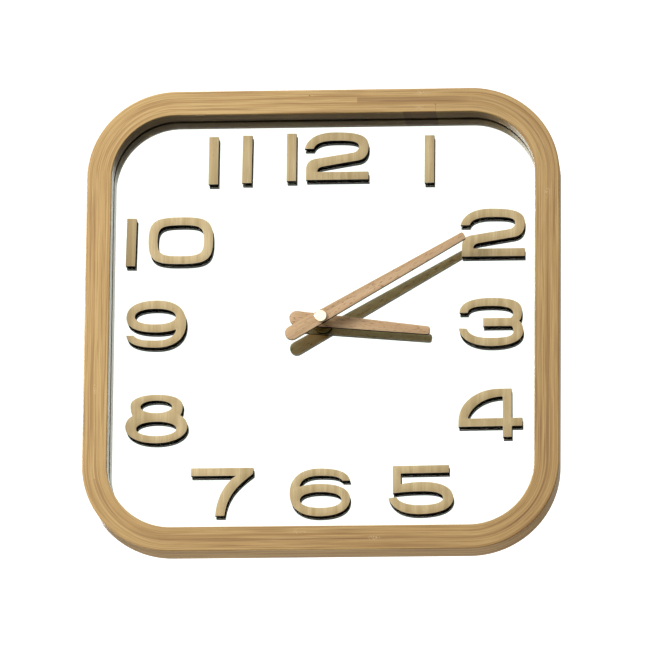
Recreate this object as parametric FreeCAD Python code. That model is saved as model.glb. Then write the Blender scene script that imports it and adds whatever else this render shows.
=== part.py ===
"""Square wall clock: bamboo frame, mirror dial, wooden numerals and hands, quartz movement.

Frame of the part: X to the right and Z up as the dial is read, Y into the wall.
The wall is the plane y = 0 and the dial axis is the Y axis.
Every depth below, called w, is the distance in front of the wall, so y = -w.
All sizes are in millimetres.
"""
import FreeCAD
import Part
import math
import os

Vector = FreeCAD.Vector
FORWARD = Vector(0, -1, 0)
BEYOND = 60.0  # a cutter this long passes through the whole clock

# ---- driving dimensions -------------------------------------------------------------------

CLOCK_SIDE = 350.0
OUTER_CORNER = 66.0
RAIL_WIDTH = 18.3
FRAME_EDGE_ROUND = 0.6
RECESS_DEPTH = 16.5
GLASS_THICK = 4.0
GLASS_HOLE_RADIUS = 5.0
TAPE_THICK = 1.0
TAPE_WIDTH = 20.0
TAPE_LENGTH = 220.0
TAPE_INSET = 22.0
BOARD_THICK = 3.0
BOARD_HOLE_RADIUS = 4.5
REBATE_WIDTH = 5.0
REBATE_PLAY = 0.5
GASKET_THICK = 1.0
MOVEMENT_DEPTH = 17.0
NUMERAL_THICK = 4.0
NUMERAL_BAR = 7.2
NUMERAL_HEIGHT = 36.6

# ---- depths in front of the wall, from back to front --------------------------------------

BOARD_BACK = MOVEMENT_DEPTH + GASKET_THICK
BOARD_FRONT = BOARD_BACK + BOARD_THICK
GLASS_BACK = BOARD_FRONT + TAPE_THICK
GLASS_FRONT = GLASS_BACK + GLASS_THICK
FRAME_FRONT = GLASS_FRONT + RECESS_DEPTH
HALF_SIDE = CLOCK_SIDE / 2
HALF_OPENING = HALF_SIDE - RAIL_WIDTH
OPENING_CORNER = OUTER_CORNER - RAIL_WIDTH

# ---- plates and screws that hold the board in the rebate ------------------------------------

RETAINER_LENGTH = 24.0
RETAINER_WIDTH = 12.0
RETAINER_THICK = 0.8
RETAINER_CORNER = 2.5
RETAINER_OVERHANG = 5.0
RETAINER_OFFSET = 70.0
SCREW_HEAD_RADIUS = 3.0
SCREW_HEAD_HEIGHT = 1.6
SCREW_HEAD_ROUND = 1.0
SCREW_SHANK_RADIUS = 1.4
SCREW_LENGTH = 9.0
SCREW_SLOT = (3.6, 0.7, 0.9)  # length, width, depth

# ---- hands; each is shown at the time ten past three ----------------------------------------

HAND_THICK = 2.6
HOUR_HAND_BACK = GLASS_FRONT + 7.5
MINUTE_HAND_BACK = GLASS_FRONT + 18.6
MINUTE_ANGLE = 60.0
HOUR_ANGLE = 96.2
FLANGE_THICK = 0.8
MINUTE_FLANGE_RADIUS = 4.2
MINUTE_SLEEVE_RADIUS = 2.7
MINUTE_SLEEVE_LENGTH = 6.0
HOUR_FLANGE_RADIUS = 5.0
HOUR_SLEEVE_RADIUS = 3.6
HOUR_SLEEVE_LENGTH = 2.0
CAP_RADIUS = 4.4
CAP_THICK = 1.5
CAP_CHAMFER = 0.3

# ---- movement case --------------------------------------------------------------------------

CASE_HALF = 28.0
CASE_CORNER = 3.0
CASE_WALL = 1.2
CASE_FRONT_WALL = 1.4
CASE_INNER = CASE_HALF - CASE_WALL
COVER_THICK = 1.4
COVER_PLAY = 0.1
HANGER_HEIGHT = 34.0
HANGER_HOLE_RADIUS = 4.0
HANGER_TAB_RADIUS = 9.0
HANGER_THICK = 2.4
BAY_TOP = -10.7
BAY_WALL = 1.0
BAY_FLOOR = BAY_TOP - BAY_WALL
LEAD_SLOT = (0.9, 3.0, 7.0)  # width, back, front
BATTERY_RADIUS = 7.25
BATTERY_LENGTH = 50.5
BATTERY_Z = -19.3
BATTERY_W = 7.9
BATTERY_ROUND = 0.5
BUTTON_RADIUS = 2.75
BUTTON_LENGTH = 1.0
RIB_PLACES = (-16, 0, 16)
RIB_HALF_WIDTH = 0.4
RIB_HALF_LENGTH = 3.0
CASE_CAVITY_FRONT = MOVEMENT_DEPTH - CASE_FRONT_WALL
POSTS = ((-22.0, -6.0), (24.3, -7.6), (-23.0, 11.5), (22.8, 15.4))
POST_RADIUS = 1.9
PIN_RADIUS = 0.9
KNOB_WELL_RADIUS = 7.0
BOSS_RADIUS = 1.3
SOCKET_FLOOR = 0.8

# ---- neck, its fixings and the tubes inside it -----------------------------------------------

THREAD_RADIUS = 4.0
THREAD_DEPTH = 0.45
THREAD_PITCH = 0.75
NECK_FLANGE_RADIUS = 5.5
NECK_FLANGE_THICK = 0.7
NECK_BORE = 2.56
NECK_END = GLASS_FRONT + 4.0
GASKET_HALF = 17.0
GASKET_CORNER = 4.0
WASHER_RADIUS = 7.0
WASHER_THICK = 0.8
NUT_ACROSS_FLATS = 11.0
NUT_HEIGHT = 2.5
NUT_CHAMFER = 0.6
HOUR_TUBE_RADIUS = 2.5
HOUR_TUBE_BORE = 1.66
MINUTE_TUBE_RADIUS = 1.6
MINUTE_TUBE_BORE = 0.62
ARBOR_RADIUS = 0.55
PIVOT_RADIUS = 0.45
PIVOT_PLAY = 0.05

# ---- depths of the train, each (back, front); arbors also have a thicker shoulder ------------

PLATE_BACK = 10.1
PLATE_FRONT = 11.0
PIVOT_W = (1.0, PLATE_FRONT - 0.2)
ROTOR_PINION_W = (3.2, 4.7)
MAGNET_W = (5.4, 8.6)
MAGNET_RADIUS = 3.0
INTERMEDIATE_WHEEL_W = (3.5, 4.2)
INTERMEDIATE_PINION_W = (4.2, 6.4)
INTERMEDIATE_SHOULDER_W = (2.9, 9.8)
SECONDS_WHEEL_W = (5.2, 5.9)
SECONDS_PINION_W = (5.9, 8.2)
SECONDS_SHOULDER = 3.4
THIRD_WHEEL_W = (7.1, 7.8)
THIRD_PINION_W = (7.8, 9.7)
THIRD_SHOULDER_W = (3.5, 9.9)
CENTRE_WHEEL_W = (8.9, 9.6)
CENTRE_HUB_W = (8.6, 9.9)
CENTRE_HUB_RADIUS = 2.6
CANNON_PINION_W = (11.3, 12.6)
MOTION_WHEEL_W = (11.4, 12.3)
MOTION_PINION_W = (12.3, 14.8)
HOUR_WHEEL_W = (13.5, 14.4)
HOUR_TUBE_BACK = 13.0
KNOB_GRIP_W = (0.3, 2.4)
KNOB_PINION_W = (11.4, 12.8)
KNOB_RADIUS = 6.4
KNOB_STEM_RADIUS = 1.5
FLUTE_RADIUS = 0.55
FLUTE_COUNT = 24
STUD_RADIUS = 0.75
STUD_PLAY = 0.05

# ---- gears: teeth and modules; both meshes on one pair of axes share a centre distance ------

PRESSURE_ANGLE = math.radians(28)
ADDENDUM = 0.8
DEDENDUM = 1.05
BACKLASH = 0.14
CANNON_TEETH, MOTION_TEETH, MOTION_MODULE = 12, 36, 10.0 / 24
MOTION_PINION_TEETH, HOUR_TEETH, HOUR_MODULE = 10, 40, 10.0 / 25
KNOB_TEETH = 12
ROTOR_TEETH, INTERMEDIATE_TEETH, ROTOR_MODULE = 8, 48, 0.25
INTERMEDIATE_PINION_TEETH, SECONDS_TEETH, SECONDS_MODULE = 8, 40, 0.45
SECONDS_PINION_TEETH, THIRD_TEETH, THIRD_MODULE = 8, 60, 0.30
THIRD_PINION_TEETH, CENTRE_TEETH, CENTRE_MODULE = 8, 64, 10.2 / 36

# ---- step motor and electronics ---------------------------------------------------------------

COIL_Z = 21.6
STATOR_BACK = 6.6
STATOR_FRONT = 7.4
STATOR_RADIUS = 5.4
STATOR_BORE = 3.5
CORE_HALF_WIDTH = 1.9
CORE_LOW, CORE_HIGH = COIL_Z - 0.6, COIL_Z + 3.0
CORE_FRONT = STATOR_FRONT + 0.8
CORE_FEET = ((-4.4, COIL_Z + 1.2), (22.9, COIL_Z + 1.2))
COIL_CENTRE = (COIL_Z + 1.2, STATOR_FRONT + 0.4)
BOBBIN_X0, BOBBIN_X1 = -1.2, 19.7
BARREL_RADIUS = 2.3
CHEEK_RADIUS = 3.9
CHEEK_THICK = 0.9
WINDING_RADIUS = 3.6
FOOT_SCREW_RADIUS = 0.6
FOOT_SCREW_HEAD_RADIUS = 1.5
CIRCUIT_BACK, CIRCUIT_FRONT = 3.4, 4.4
CIRCUIT_X0, CIRCUIT_X1, CIRCUIT_Z0, CIRCUIT_Z1 = -25.3, -7.4, 15.2, 26.0
BLOB_CENTRE = (-12.6, 20.6)
BLOB_RADIUS, BLOB_HEIGHT = 2.6, 1.1
CRYSTAL_CENTRE = (-22.6, 17.2)
CRYSTAL_RADIUS, CRYSTAL_LENGTH = 1.0, 6.0
LEAD_RADIUS = 0.12
CONTACT_THICK = 0.3
CONTACT_PAD_W = (3.4, 12.4)
CONTACT_LEAD_W = (3.4, 6.4)

HAND_AXIS = (0.0, 0.0)


# ---- small helpers ------------------------------------------------------------------------

def point(x, z, w=0.0):
    return Vector(x, -w, z)


def step_from(centre, distance, degrees):
    """The axis that lies a centre distance away in a direction measured from +X towards +Z."""
    angle = math.radians(degrees)
    return centre[0] + distance * math.cos(angle), centre[1] + distance * math.sin(angle)


def disc(radius, w0, w1, centre=HAND_AXIS):
    return Part.makeCylinder(radius, w1 - w0, point(centre[0], centre[1], w0), FORWARD)


def ring(outer, inner, w0, w1, centre=HAND_AXIS):
    return disc(outer, w0, w1, centre).cut(disc(inner, w0 - 1, w1 + 1, centre))


def block(x0, x1, z0, z1, w0, w1):
    return Part.makeBox(x1 - x0, w1 - w0, z1 - z0, Vector(x0, -w1, z0))


def plate(wire, w0, w1):
    """A wire drawn in the plane w = 0, pushed forward to fill the depths w0 to w1."""
    face = Part.Face(wire)
    solid = face.extrude(FORWARD * (w1 - w0))
    solid.translate(FORWARD * w0)
    return solid


def drawn(start, moves):
    """A closed wire from (x, z): a move is a line (x, z), an arc (via, end) or a cubic (c1, c2, end)."""
    edges = []
    here = start
    for move in moves:
        end = move[-2:]
        a, b = point(*here), point(*end)
        if len(move) == 2:
            edges.append(Part.makeLine(a, b))
        elif len(move) == 4:
            edges.append(Part.Arc(a, point(*move[:2]), b).toShape())
        else:
            curve = Part.BezierCurve()
            curve.setPoles([a, point(*move[:2]), point(*move[2:4]), b])
            edges.append(curve.toShape())
        here = end
    if math.dist(here, start) > 1e-6:
        edges.append(Part.makeLine(point(*here), point(*start)))
    return Part.Wire(edges)


def rounded_box(x0, x1, z0, z1, radius):
    cut = radius * (1 - math.sqrt(0.5))
    return drawn((x0 + radius, z1), [
        (x1 - radius, z1), (x1 - cut, z1 - cut, x1, z1 - radius),
        (x1, z0 + radius), (x1 - cut, z0 + cut, x1 - radius, z0),
        (x0 + radius, z0), (x0 + cut, z0 + cut, x0, z0 + radius),
        (x0, z1 - radius), (x0 + cut, z1 - cut, x0 + radius, z1)])


def rounded_square(half, radius):
    return rounded_box(-half, half, -half, half, radius)


def oval(x, z, rx, rz, fullness=0.62):
    """A closed oval of four cubics; a larger fullness gives squarer shoulders."""
    fx, fz = rx * fullness, rz * fullness
    return drawn((x, z + rz), [
        (x + fx, z + rz, x + rx, z + fz, x + rx, z), (x + rx, z - fz, x + fx, z - rz, x, z - rz),
        (x - fx, z - rz, x - rx, z - fz, x - rx, z), (x - rx, z + fz, x - fx, z + rz, x, z + rz)])


def bore(radius, centre=HAND_AXIS):
    """A cutter through the whole depth of the clock."""
    return disc(radius, 0, BEYOND, centre)


def group(solids):
    return Part.makeCompound(list(solids))


def fused(first, *others):
    return first.fuse(list(others)).removeSplitter()


def save(name, shape):
    if shape.ShapeType == "Compound" and len(shape.Solids) == 1:
        shape = shape.Solids[0]
    shape.exportStep("parts/" + name + ".step")


# ---- axes of the wheels; directions are in degrees from +X towards +Z --------------------------

MOTION_DIRECTION = 3.0
KNOB_DIRECTION = 20.0
THIRD_DIRECTION = 150.0
INTERMEDIATE_DIRECTION = 35.0
ROTOR_DIRECTION = 60.0
MOTION_DISTANCE = (CANNON_TEETH + MOTION_TEETH) / 2 * MOTION_MODULE
THIRD_DISTANCE = (SECONDS_PINION_TEETH + THIRD_TEETH) / 2 * THIRD_MODULE
INTERMEDIATE_DISTANCE = (INTERMEDIATE_PINION_TEETH + SECONDS_TEETH) / 2 * SECONDS_MODULE
ROTOR_DISTANCE = (ROTOR_TEETH + INTERMEDIATE_TEETH) / 2 * ROTOR_MODULE
MOTION_AXIS = step_from(HAND_AXIS, MOTION_DISTANCE, MOTION_DIRECTION)
KNOB_AXIS = step_from(MOTION_AXIS, MOTION_DISTANCE, KNOB_DIRECTION)
THIRD_AXIS = step_from(HAND_AXIS, THIRD_DISTANCE, THIRD_DIRECTION)
INTERMEDIATE_AXIS = step_from(HAND_AXIS, INTERMEDIATE_DISTANCE, INTERMEDIATE_DIRECTION)
ROTOR_AXIS = step_from(INTERMEDIATE_AXIS, ROTOR_DISTANCE, ROTOR_DIRECTION)
MOTION_ANGLE = math.radians(MOTION_DIRECTION)
THIRD_ANGLE = math.radians(THIRD_DIRECTION)
INTERMEDIATE_ANGLE = math.radians(INTERMEDIATE_DIRECTION)
ROTOR_ANGLE = math.radians(ROTOR_DIRECTION)


# ---- frame, dial and back -----------------------------------------------------------------

def bamboo_frame():
    body = plate(rounded_square(HALF_SIDE, OUTER_CORNER), BOARD_BACK, FRAME_FRONT)
    opening = plate(rounded_square(HALF_OPENING, OPENING_CORNER), BOARD_BACK - 1, FRAME_FRONT + 1)
    rebate = plate(rounded_square(HALF_OPENING + REBATE_WIDTH, OPENING_CORNER + REBATE_WIDTH),
                   BOARD_BACK - 1, GLASS_FRONT)
    body = body.cut([opening, rebate])
    front_edges = [edge for edge in body.Edges
                   if all(abs(vertex.Y + FRAME_FRONT) < 1e-6 for vertex in edge.Vertexes)]
    return body.makeFillet(FRAME_EDGE_ROUND, front_edges)


def rebate_panel(hole, w0, w1):
    """A sheet that lies in the frame's rebate, with a round hole for the neck."""
    grow = REBATE_WIDTH - REBATE_PLAY
    sheet = plate(rounded_square(HALF_OPENING + grow, OPENING_CORNER + grow), w0, w1)
    return sheet.cut(bore(hole))


def mounting_tape():
    """Two long upright strips and two shorter level ones between the glass and the board."""
    near = HALF_OPENING - TAPE_INSET
    upright = TAPE_LENGTH / 2
    level = TAPE_LENGTH / 2 - 2 * TAPE_WIDTH
    strips = []
    for sign in (-1, 1):
        low, high = sorted((sign * near, sign * (near - TAPE_WIDTH)))
        strips.append(block(low, high, -upright, upright, BOARD_FRONT, GLASS_BACK))
        strips.append(block(-level, level, low, high, BOARD_FRONT, GLASS_BACK))
    return group(strips)


def retainer_places():
    """Screw centres and the direction in which each plate reaches in over the board."""
    line = HALF_SIDE - (RAIL_WIDTH - REBATE_WIDTH) / 2
    places = []
    for side in (-1, 1):
        for along in (-RETAINER_OFFSET, RETAINER_OFFSET):
            places.append((side * line, along, (-side, 0)))
            places.append((along, side * line, (0, -side)))
    return places


def retaining_plates():
    plates = []
    for x, z, (dx, dz) in retainer_places():
        corners = []
        for reach, half in ((-RETAINER_OVERHANG, -RETAINER_WIDTH / 2),
                            (RETAINER_LENGTH - RETAINER_OVERHANG, RETAINER_WIDTH / 2)):
            corners.append((x + dx * reach + abs(dz) * half, z + dz * reach + abs(dx) * half))
        (xa, za), (xb, zb) = corners
        outline = rounded_box(min(xa, xb), max(xa, xb), min(za, zb), max(za, zb), RETAINER_CORNER)
        sheet = plate(outline, BOARD_BACK - RETAINER_THICK, BOARD_BACK)
        plates.append(sheet.cut(bore(SCREW_SHANK_RADIUS + 0.1, (x, z))))
    return group(plates)


def plate_screws():
    """Pan-head wood screws, each with a crossed slot; the frame and the screws share pilot holes."""
    head_front = BOARD_BACK - RETAINER_THICK
    head_back = head_front - SCREW_HEAD_HEIGHT
    slot_length, slot_width, slot_depth = SCREW_SLOT
    screws = []
    for x, z, _ in retainer_places():
        head = disc(SCREW_HEAD_RADIUS, head_back, head_front, (x, z))
        rim = [edge for edge in head.Edges if abs(edge.BoundBox.YMin + head_back) < 1e-6
               and abs(edge.BoundBox.YMax + head_back) < 1e-6]
        head = head.makeFillet(SCREW_HEAD_ROUND, rim)
        shank = disc(SCREW_SHANK_RADIUS, head_front, BOARD_BACK + SCREW_LENGTH, (x, z))
        slots = [block(x - a / 2, x + a / 2, z - b / 2, z + b / 2, head_back - 1, head_back + slot_depth)
                 for a, b in ((slot_length, slot_width), (slot_width, slot_length))]
        screws.append(fused(head, shank).cut(slots))
    return group(screws)


def frame_with_pilot_holes():
    holes = [disc(SCREW_SHANK_RADIUS, BOARD_BACK - 1, BOARD_BACK + SCREW_LENGTH + 0.5, (x, z))
             for x, z, _ in retainer_places()]
    return bamboo_frame().cut(holes)


# ---- numerals -----------------------------------------------------------------------------
# Wide letterforms about 47 mm by 36.6 mm, drawn about their own centres in millimetres.

def digit_0():
    outer = drawn((0, 18), [(19.2, 18, 24, 15.4, 24, 0), (24, -15.4, 19.2, -18, 0, -18),
                            (-19.2, -18, -24, -15.4, -24, 0), (-24, 15.4, -19.2, 18, 0, 18)])
    hole = drawn((0, 11.8), [(14.6, 11.8, 17.2, 10.2, 17.2, 0), (17.2, -10.2, 14.6, -11.8, 0, -11.8),
                             (-14.6, -11.8, -17.2, -10.2, -17.2, 0), (-17.2, 10.2, -14.6, 11.8, 0, 11.8)])
    return [outer, hole]


def digit_1():
    a, b = NUMERAL_BAR / 2, NUMERAL_HEIGHT / 2
    return [drawn((-a, b), [(a, b), (a, -b), (-a, -b)])]


def digit_2():
    return [drawn((-23.8, 5.7), [
        (-21.5, 14.5, -13, 18.25, -2, 18.25), (15, 18.25, 23.8, 16, 23.8, 7.5),
        (23.8, 1, 21.5, -3, 15, -3.8), (-9.9, -8), (-12.6, -8.5, -14.2, -9.5, -14.2, -12.2),
        (23.8, -12.2), (23.8, -18.25), (-22.6, -18.25), (-22.6, -10.5),
        (-22.6, -5, -20, -2.6, -15, -1.9), (11.5, 2.3), (14.8, 2.8, 16.6, 4.5, 16.6, 7.2),
        (16.6, 11.8, 8, 11.8, -1.4, 11.8), (-9, 11.8, -15.5, 10.5, -17, 5.7)])]


def digit_3():
    return [drawn((-23.2, 7.1), [
        (-23, 15, -14, 18.3, -0.4, 18.3), (16, 18.3, 22.9, 15.5, 22.9, 8.2),
        (22.9, 4.8, 22.3, 2.2, 20.8, 0.6), (22.9, -1.2, 23.8, -3.6, 23.8, -6.8),
        (23.8, -15, 14, -18.3, 0.8, -18.3), (-13, -18.3, -22.4, -13.5, -23.6, -4.6),
        (-17.6, -4.9), (-16, -10.6, -8.5, -12.1, 0.8, -12.1), (12, -12.1, 16.6, -10.8, 16.6, -7.3),
        (16.6, -5, 16, -3.2, 14.5, -3.2), (-5.7, -3.2), (-5.7, 3), (14.5, 3),
        (15.8, 3.6, 16.3, 5, 16.3, 6.6), (16.3, 10.8, 10, 12.2, -0.4, 12.2),
        (-10, 12.2, -16.9, 11.2, -16.9, 7.1)])]


def digit_4():
    outer = drawn((-23.5, -10.1), [
        (-23.5, -6), (-23.5, 9, -9, 18.3, 6, 18.3), (15.7, 18.3), (15.7, -3.9), (23.5, -3.9),
        (23.5, -10.1), (15.7, -10.1), (15.7, -18.3), (9.1, -18.3), (9.1, -10.1)])
    hole = drawn((-16.4, -3.9), [(9.1, -3.9), (9.1, 12.3), (-4, 12.3, -14, 5, -16.4, -3.2)])
    return [outer, hole]


def digit_5():
    return [drawn((-20.4, 18.3), [
        (20.8, 18.3), (20.8, 12.5), (-14.5, 12.5), (-14.5, 4.4), (-10, 5.5, -5, 5.9, 0.5, 5.9),
        (15, 5.9, 23.85, 1.5, 23.85, -6.6), (23.85, -14.5, 14, -18.3, -0.7, -18.3),
        (-13, -18.3, -21, -14, -23.7, -5.9), (-17.9, -5.2), (-15.5, -9.8, -8, -11.5, 0.5, -11.5),
        (10, -11.5, 16.4, -10, 16.4, -6.4), (16.4, -2.5, 9, -1.2, 0.5, -1.2),
        (-8, -1.2, -15, -1.6, -20.4, -2.4)])]


def digit_6():
    outer = drawn((22.2, 8.6), [
        (16.6, 8.6), (14, 12.1, 8, 12.5, -0.6, 12.5), (-9, 12.5, -14.2, 9.5, -14.8, 4.2),
        (-11, 5.6, -6, 6.4, -0.6, 6.4), (14, 6.4, 22.2, 2.5, 22.2, -4.8),
        (22.2, -14, 13, -18, 0, -18), (-14, -18, -22.2, -12, -22.2, -0.5),
        (-22.2, 12, -13, 18, -0.6, 18), (12, 18, 21, 15.5, 22.2, 8.6)])
    return [outer, oval(0.7, -5.7, 15.2, 5.9)]


def digit_7():
    return [drawn((-23, 18.1), [
        (22.9, 18.1), (22.9, 13.6), (10, 4, 3.5, -4, 2, -18.1), (-4.9, -18.1),
        (-4, -4, 2, 6.5, 10.2, 12.1), (-23, 12.1)])]


def digit_8():
    outer = drawn((0, 18.4), [
        (12, 18.4, 19.3, 15, 19.3, 10.2), (19.3, 6.8, 18.8, 4, 17.4, 2.6),
        (20.5, 1.2, 22.95, -1.8, 22.95, -5.8), (22.95, -13.5, 13, -18.4, 0, -18.4),
        (-13, -18.4, -22.95, -13.5, -22.95, -5.8), (-22.95, -1.8, -20.5, 1.2, -17.4, 2.6),
        (-18.8, 4, -19.3, 6.8, -19.3, 10.2), (-19.3, 15, -12, 18.4, 0, 18.4)])
    return [outer, oval(-0.2, 9.2, 11.6, 4.7, 0.58), oval(0, -7.5, 14.9, 5.4, 0.58)]


def digit_9():
    wires = digit_6()
    for wire in wires:
        wire.rotate(Vector(0, 0, 0), FORWARD, 180)
    return wires


DIGITS = {0: digit_0, 1: digit_1, 2: digit_2, 3: digit_3, 4: digit_4,
          5: digit_5, 6: digit_6, 7: digit_7, 8: digit_8, 9: digit_9}

# hour: (digit, centre x, centre z, clockwise tilt in degrees) for each loose digit
NUMERALS = {
    1: [(1, 78.0, 124.2, 0.0)],
    2: [(2, 125.0, 67.2, 0.0)],
    3: [(3, 124.0, -1.1, 0.0)],
    4: [(4, 123.9, -70.1, -0.5)],
    5: [(5, 73.1, -127.5, -0.6)],
    6: [(6, -0.9, -128.7, 0.0)],
    7: [(7, -72.8, -127.7, 0.0)],
    8: [(8, -121.9, -72.0, 0.0)],
    9: [(9, -123.1, 0.2, 0.0)],
    10: [(1, -142.6, 62.9, 1.1), (0, -105.8, 63.8, 0.0)],
    11: [(1, -82.2, 125.0, 0.3), (1, -57.2, 125.7, 0.7)],
    12: [(1, -24.3, 126.8, 0.0), (2, 9.1, 127.4, 0.0)],
}


def loose_digit(digit, x, z, tilt):
    outer, *holes = DIGITS[digit]()
    solid = plate(outer, GLASS_FRONT, GLASS_FRONT + NUMERAL_THICK)
    for hole in holes:
        solid = solid.cut(plate(hole, GLASS_FRONT - 1, GLASS_FRONT + NUMERAL_THICK + 1))
    solid.rotate(Vector(0, 0, 0), Vector(0, 1, 0), tilt)
    solid.translate(point(x, z))
    return solid


# ---- hands, bushes and cap ----------------------------------------------------------------

def hand_outline(tail, tail_radius, reach, root_half, tip_half, tip_round):
    """A hand that points up: round tail, straight tapering sides, small rounded tip corners."""
    lean = math.atan2(root_half - tip_half, reach)
    side = (tail_radius * math.cos(lean), -tail + tail_radius * math.sin(lean))
    corner = tip_round * (1 - math.sqrt(0.5))
    near_tip = tip_half + (root_half - tip_half) * tip_round / reach
    return drawn((side[0], side[1]), [
        (near_tip, reach - tip_round), (tip_half - corner, reach - corner, tip_half - tip_round, reach),
        (tip_round - tip_half, reach), (corner - tip_half, reach - corner, -near_tip, reach - tip_round),
        (-side[0], side[1]), (0, -tail - tail_radius, side[0], side[1])])


def turned(shape, degrees):
    """Turned clockwise about the dial axis, as the dial is read."""
    shape.rotate(Vector(0, 0, 0), Vector(0, 1, 0), degrees)
    return shape


def minute_hand():
    outline = hand_outline(24.4, 5.2, 121.5, 5.1, 2.8, 1.6)
    hand = plate(outline, MINUTE_HAND_BACK, MINUTE_HAND_BACK + HAND_THICK)
    return turned(hand.cut(bore(MINUTE_TUBE_RADIUS)), MINUTE_ANGLE)


def hour_hand():
    outline = hand_outline(19.0, 5.3, 80.0, 5.2, 3.0, 1.9)
    hand = plate(outline, HOUR_HAND_BACK, HOUR_HAND_BACK + HAND_THICK)
    return turned(hand.cut(bore(HOUR_TUBE_RADIUS)), HOUR_ANGLE)


def hand_bush(hand_back, hole, flange_radius, sleeve_radius, sleeve_length):
    """A flange against the back of a hand and a narrower sleeve behind the flange."""
    flange_back = hand_back - FLANGE_THICK
    flange = ring(flange_radius, hole, flange_back, hand_back)
    sleeve = ring(sleeve_radius, hole, flange_back - sleeve_length, flange_back)
    return fused(flange, sleeve)


def minute_hand_bush():
    return hand_bush(MINUTE_HAND_BACK, MINUTE_TUBE_RADIUS, MINUTE_FLANGE_RADIUS,
                     MINUTE_SLEEVE_RADIUS, MINUTE_SLEEVE_LENGTH)


def hour_hand_bush():
    return hand_bush(HOUR_HAND_BACK, HOUR_TUBE_RADIUS, HOUR_FLANGE_RADIUS,
                     HOUR_SLEEVE_RADIUS, HOUR_SLEEVE_LENGTH)


def hand_cap():
    front = MINUTE_HAND_BACK + HAND_THICK
    cap = disc(CAP_RADIUS, front, front + CAP_THICK)
    rim = [edge for edge in cap.Edges if edge.BoundBox.YMax < -(front + CAP_THICK - 0.1)]
    return cap.makeChamfer(CAP_CHAMFER, rim)


# ---- neck of the movement and its fixings ---------------------------------------------------

def threaded_bushing():
    """Brass neck: an inner flange, a plain shank through the case wall and V grooves as thread."""
    flange_back = CASE_CAVITY_FRONT - NECK_FLANGE_THICK
    root = THREAD_RADIUS - THREAD_DEPTH
    profile = [(NECK_BORE, flange_back), (NECK_FLANGE_RADIUS, flange_back),
               (NECK_FLANGE_RADIUS, CASE_CAVITY_FRONT), (THREAD_RADIUS, CASE_CAVITY_FRONT),
               (THREAD_RADIUS, BOARD_BACK)]
    w = BOARD_BACK
    while w + THREAD_PITCH < NECK_END - 0.4:
        profile.append((root, w + THREAD_PITCH / 2))
        profile.append((THREAD_RADIUS, w + THREAD_PITCH))
        w += THREAD_PITCH
    profile += [(root, NECK_END), (NECK_BORE, NECK_END)]
    corners = [Vector(r, -depth, 0) for r, depth in profile]
    face = Part.Face(Part.makePolygon(corners + corners[:1]))
    return face.revolve(Vector(0, 0, 0), Vector(0, 1, 0), 360)


def rubber_gasket():
    sheet = plate(rounded_square(GASKET_HALF, GASKET_CORNER), MOVEMENT_DEPTH, BOARD_BACK)
    return sheet.cut(bore(THREAD_RADIUS + 0.3))


def neck_washer():
    return ring(WASHER_RADIUS, THREAD_RADIUS + 0.2, GLASS_FRONT, GLASS_FRONT + WASHER_THICK)


def hex_nut():
    back = GLASS_FRONT + WASHER_THICK
    front = back + NUT_HEIGHT
    corner_radius = NUT_ACROSS_FLATS / math.sqrt(3)
    corners = [step_from(HAND_AXIS, corner_radius, 60 * k) for k in range(6)]
    nut = plate(drawn(corners[0], corners[1:]), back, front)
    blank = disc(corner_radius - 0.1, back, front)
    rim = [edge for edge in blank.Edges if edge.BoundBox.YMax < -(front - 0.1)]
    nut = nut.common(blank.makeChamfer(NUT_CHAMFER, rim))
    return nut.cut(bore(THREAD_RADIUS + 0.02))


# ---- movement case ------------------------------------------------------------------------

def movement_case():
    """Square box with a hanger tab, a gear cavity above, a battery bay below and a wall between."""
    shell = plate(rounded_square(CASE_HALF, CASE_CORNER), 0, MOVEMENT_DEPTH)
    tab = fused(block(-HANGER_TAB_RADIUS, HANGER_TAB_RADIUS, CASE_HALF - 0.6, HANGER_HEIGHT,
                      0, HANGER_THICK),
                disc(HANGER_TAB_RADIUS, 0, HANGER_THICK, (0, HANGER_HEIGHT)))
    cavity = block(-CASE_INNER, CASE_INNER, BAY_TOP, CASE_INNER, -1, CASE_CAVITY_FRONT)
    bay = block(-CASE_INNER, CASE_INNER, -CASE_INNER, BAY_FLOOR, -1, CASE_CAVITY_FRONT)
    slot_width, slot_back, slot_front = LEAD_SLOT
    lead_slots = [block(x0, x0 + slot_width, BAY_FLOOR - 0.5, BAY_TOP + 0.5, slot_back, slot_front)
                  for x0 in (-CASE_INNER, CASE_INNER - slot_width)]
    hole = bore(HANGER_HOLE_RADIUS, (0, HANGER_HEIGHT))
    shell = fused(shell, tab).cut([cavity, bay, hole, bore(THREAD_RADIUS)] + lead_slots)
    posts = [disc(POST_RADIUS, PLATE_FRONT, CASE_CAVITY_FRONT + 0.2, place) for place in POSTS]
    pins = [disc(PIN_RADIUS, PLATE_BACK, PLATE_FRONT + 0.2, place) for place in POSTS]
    rib_back = BATTERY_W + BATTERY_RADIUS + 0.05
    ribs = [block(x - RIB_HALF_WIDTH, x + RIB_HALF_WIDTH, BATTERY_Z - RIB_HALF_LENGTH,
                  BATTERY_Z + RIB_HALF_LENGTH, rib_back, CASE_CAVITY_FRONT + 0.2) for x in RIB_PLACES]
    return fused(shell, *posts, *pins, *ribs)


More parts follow.
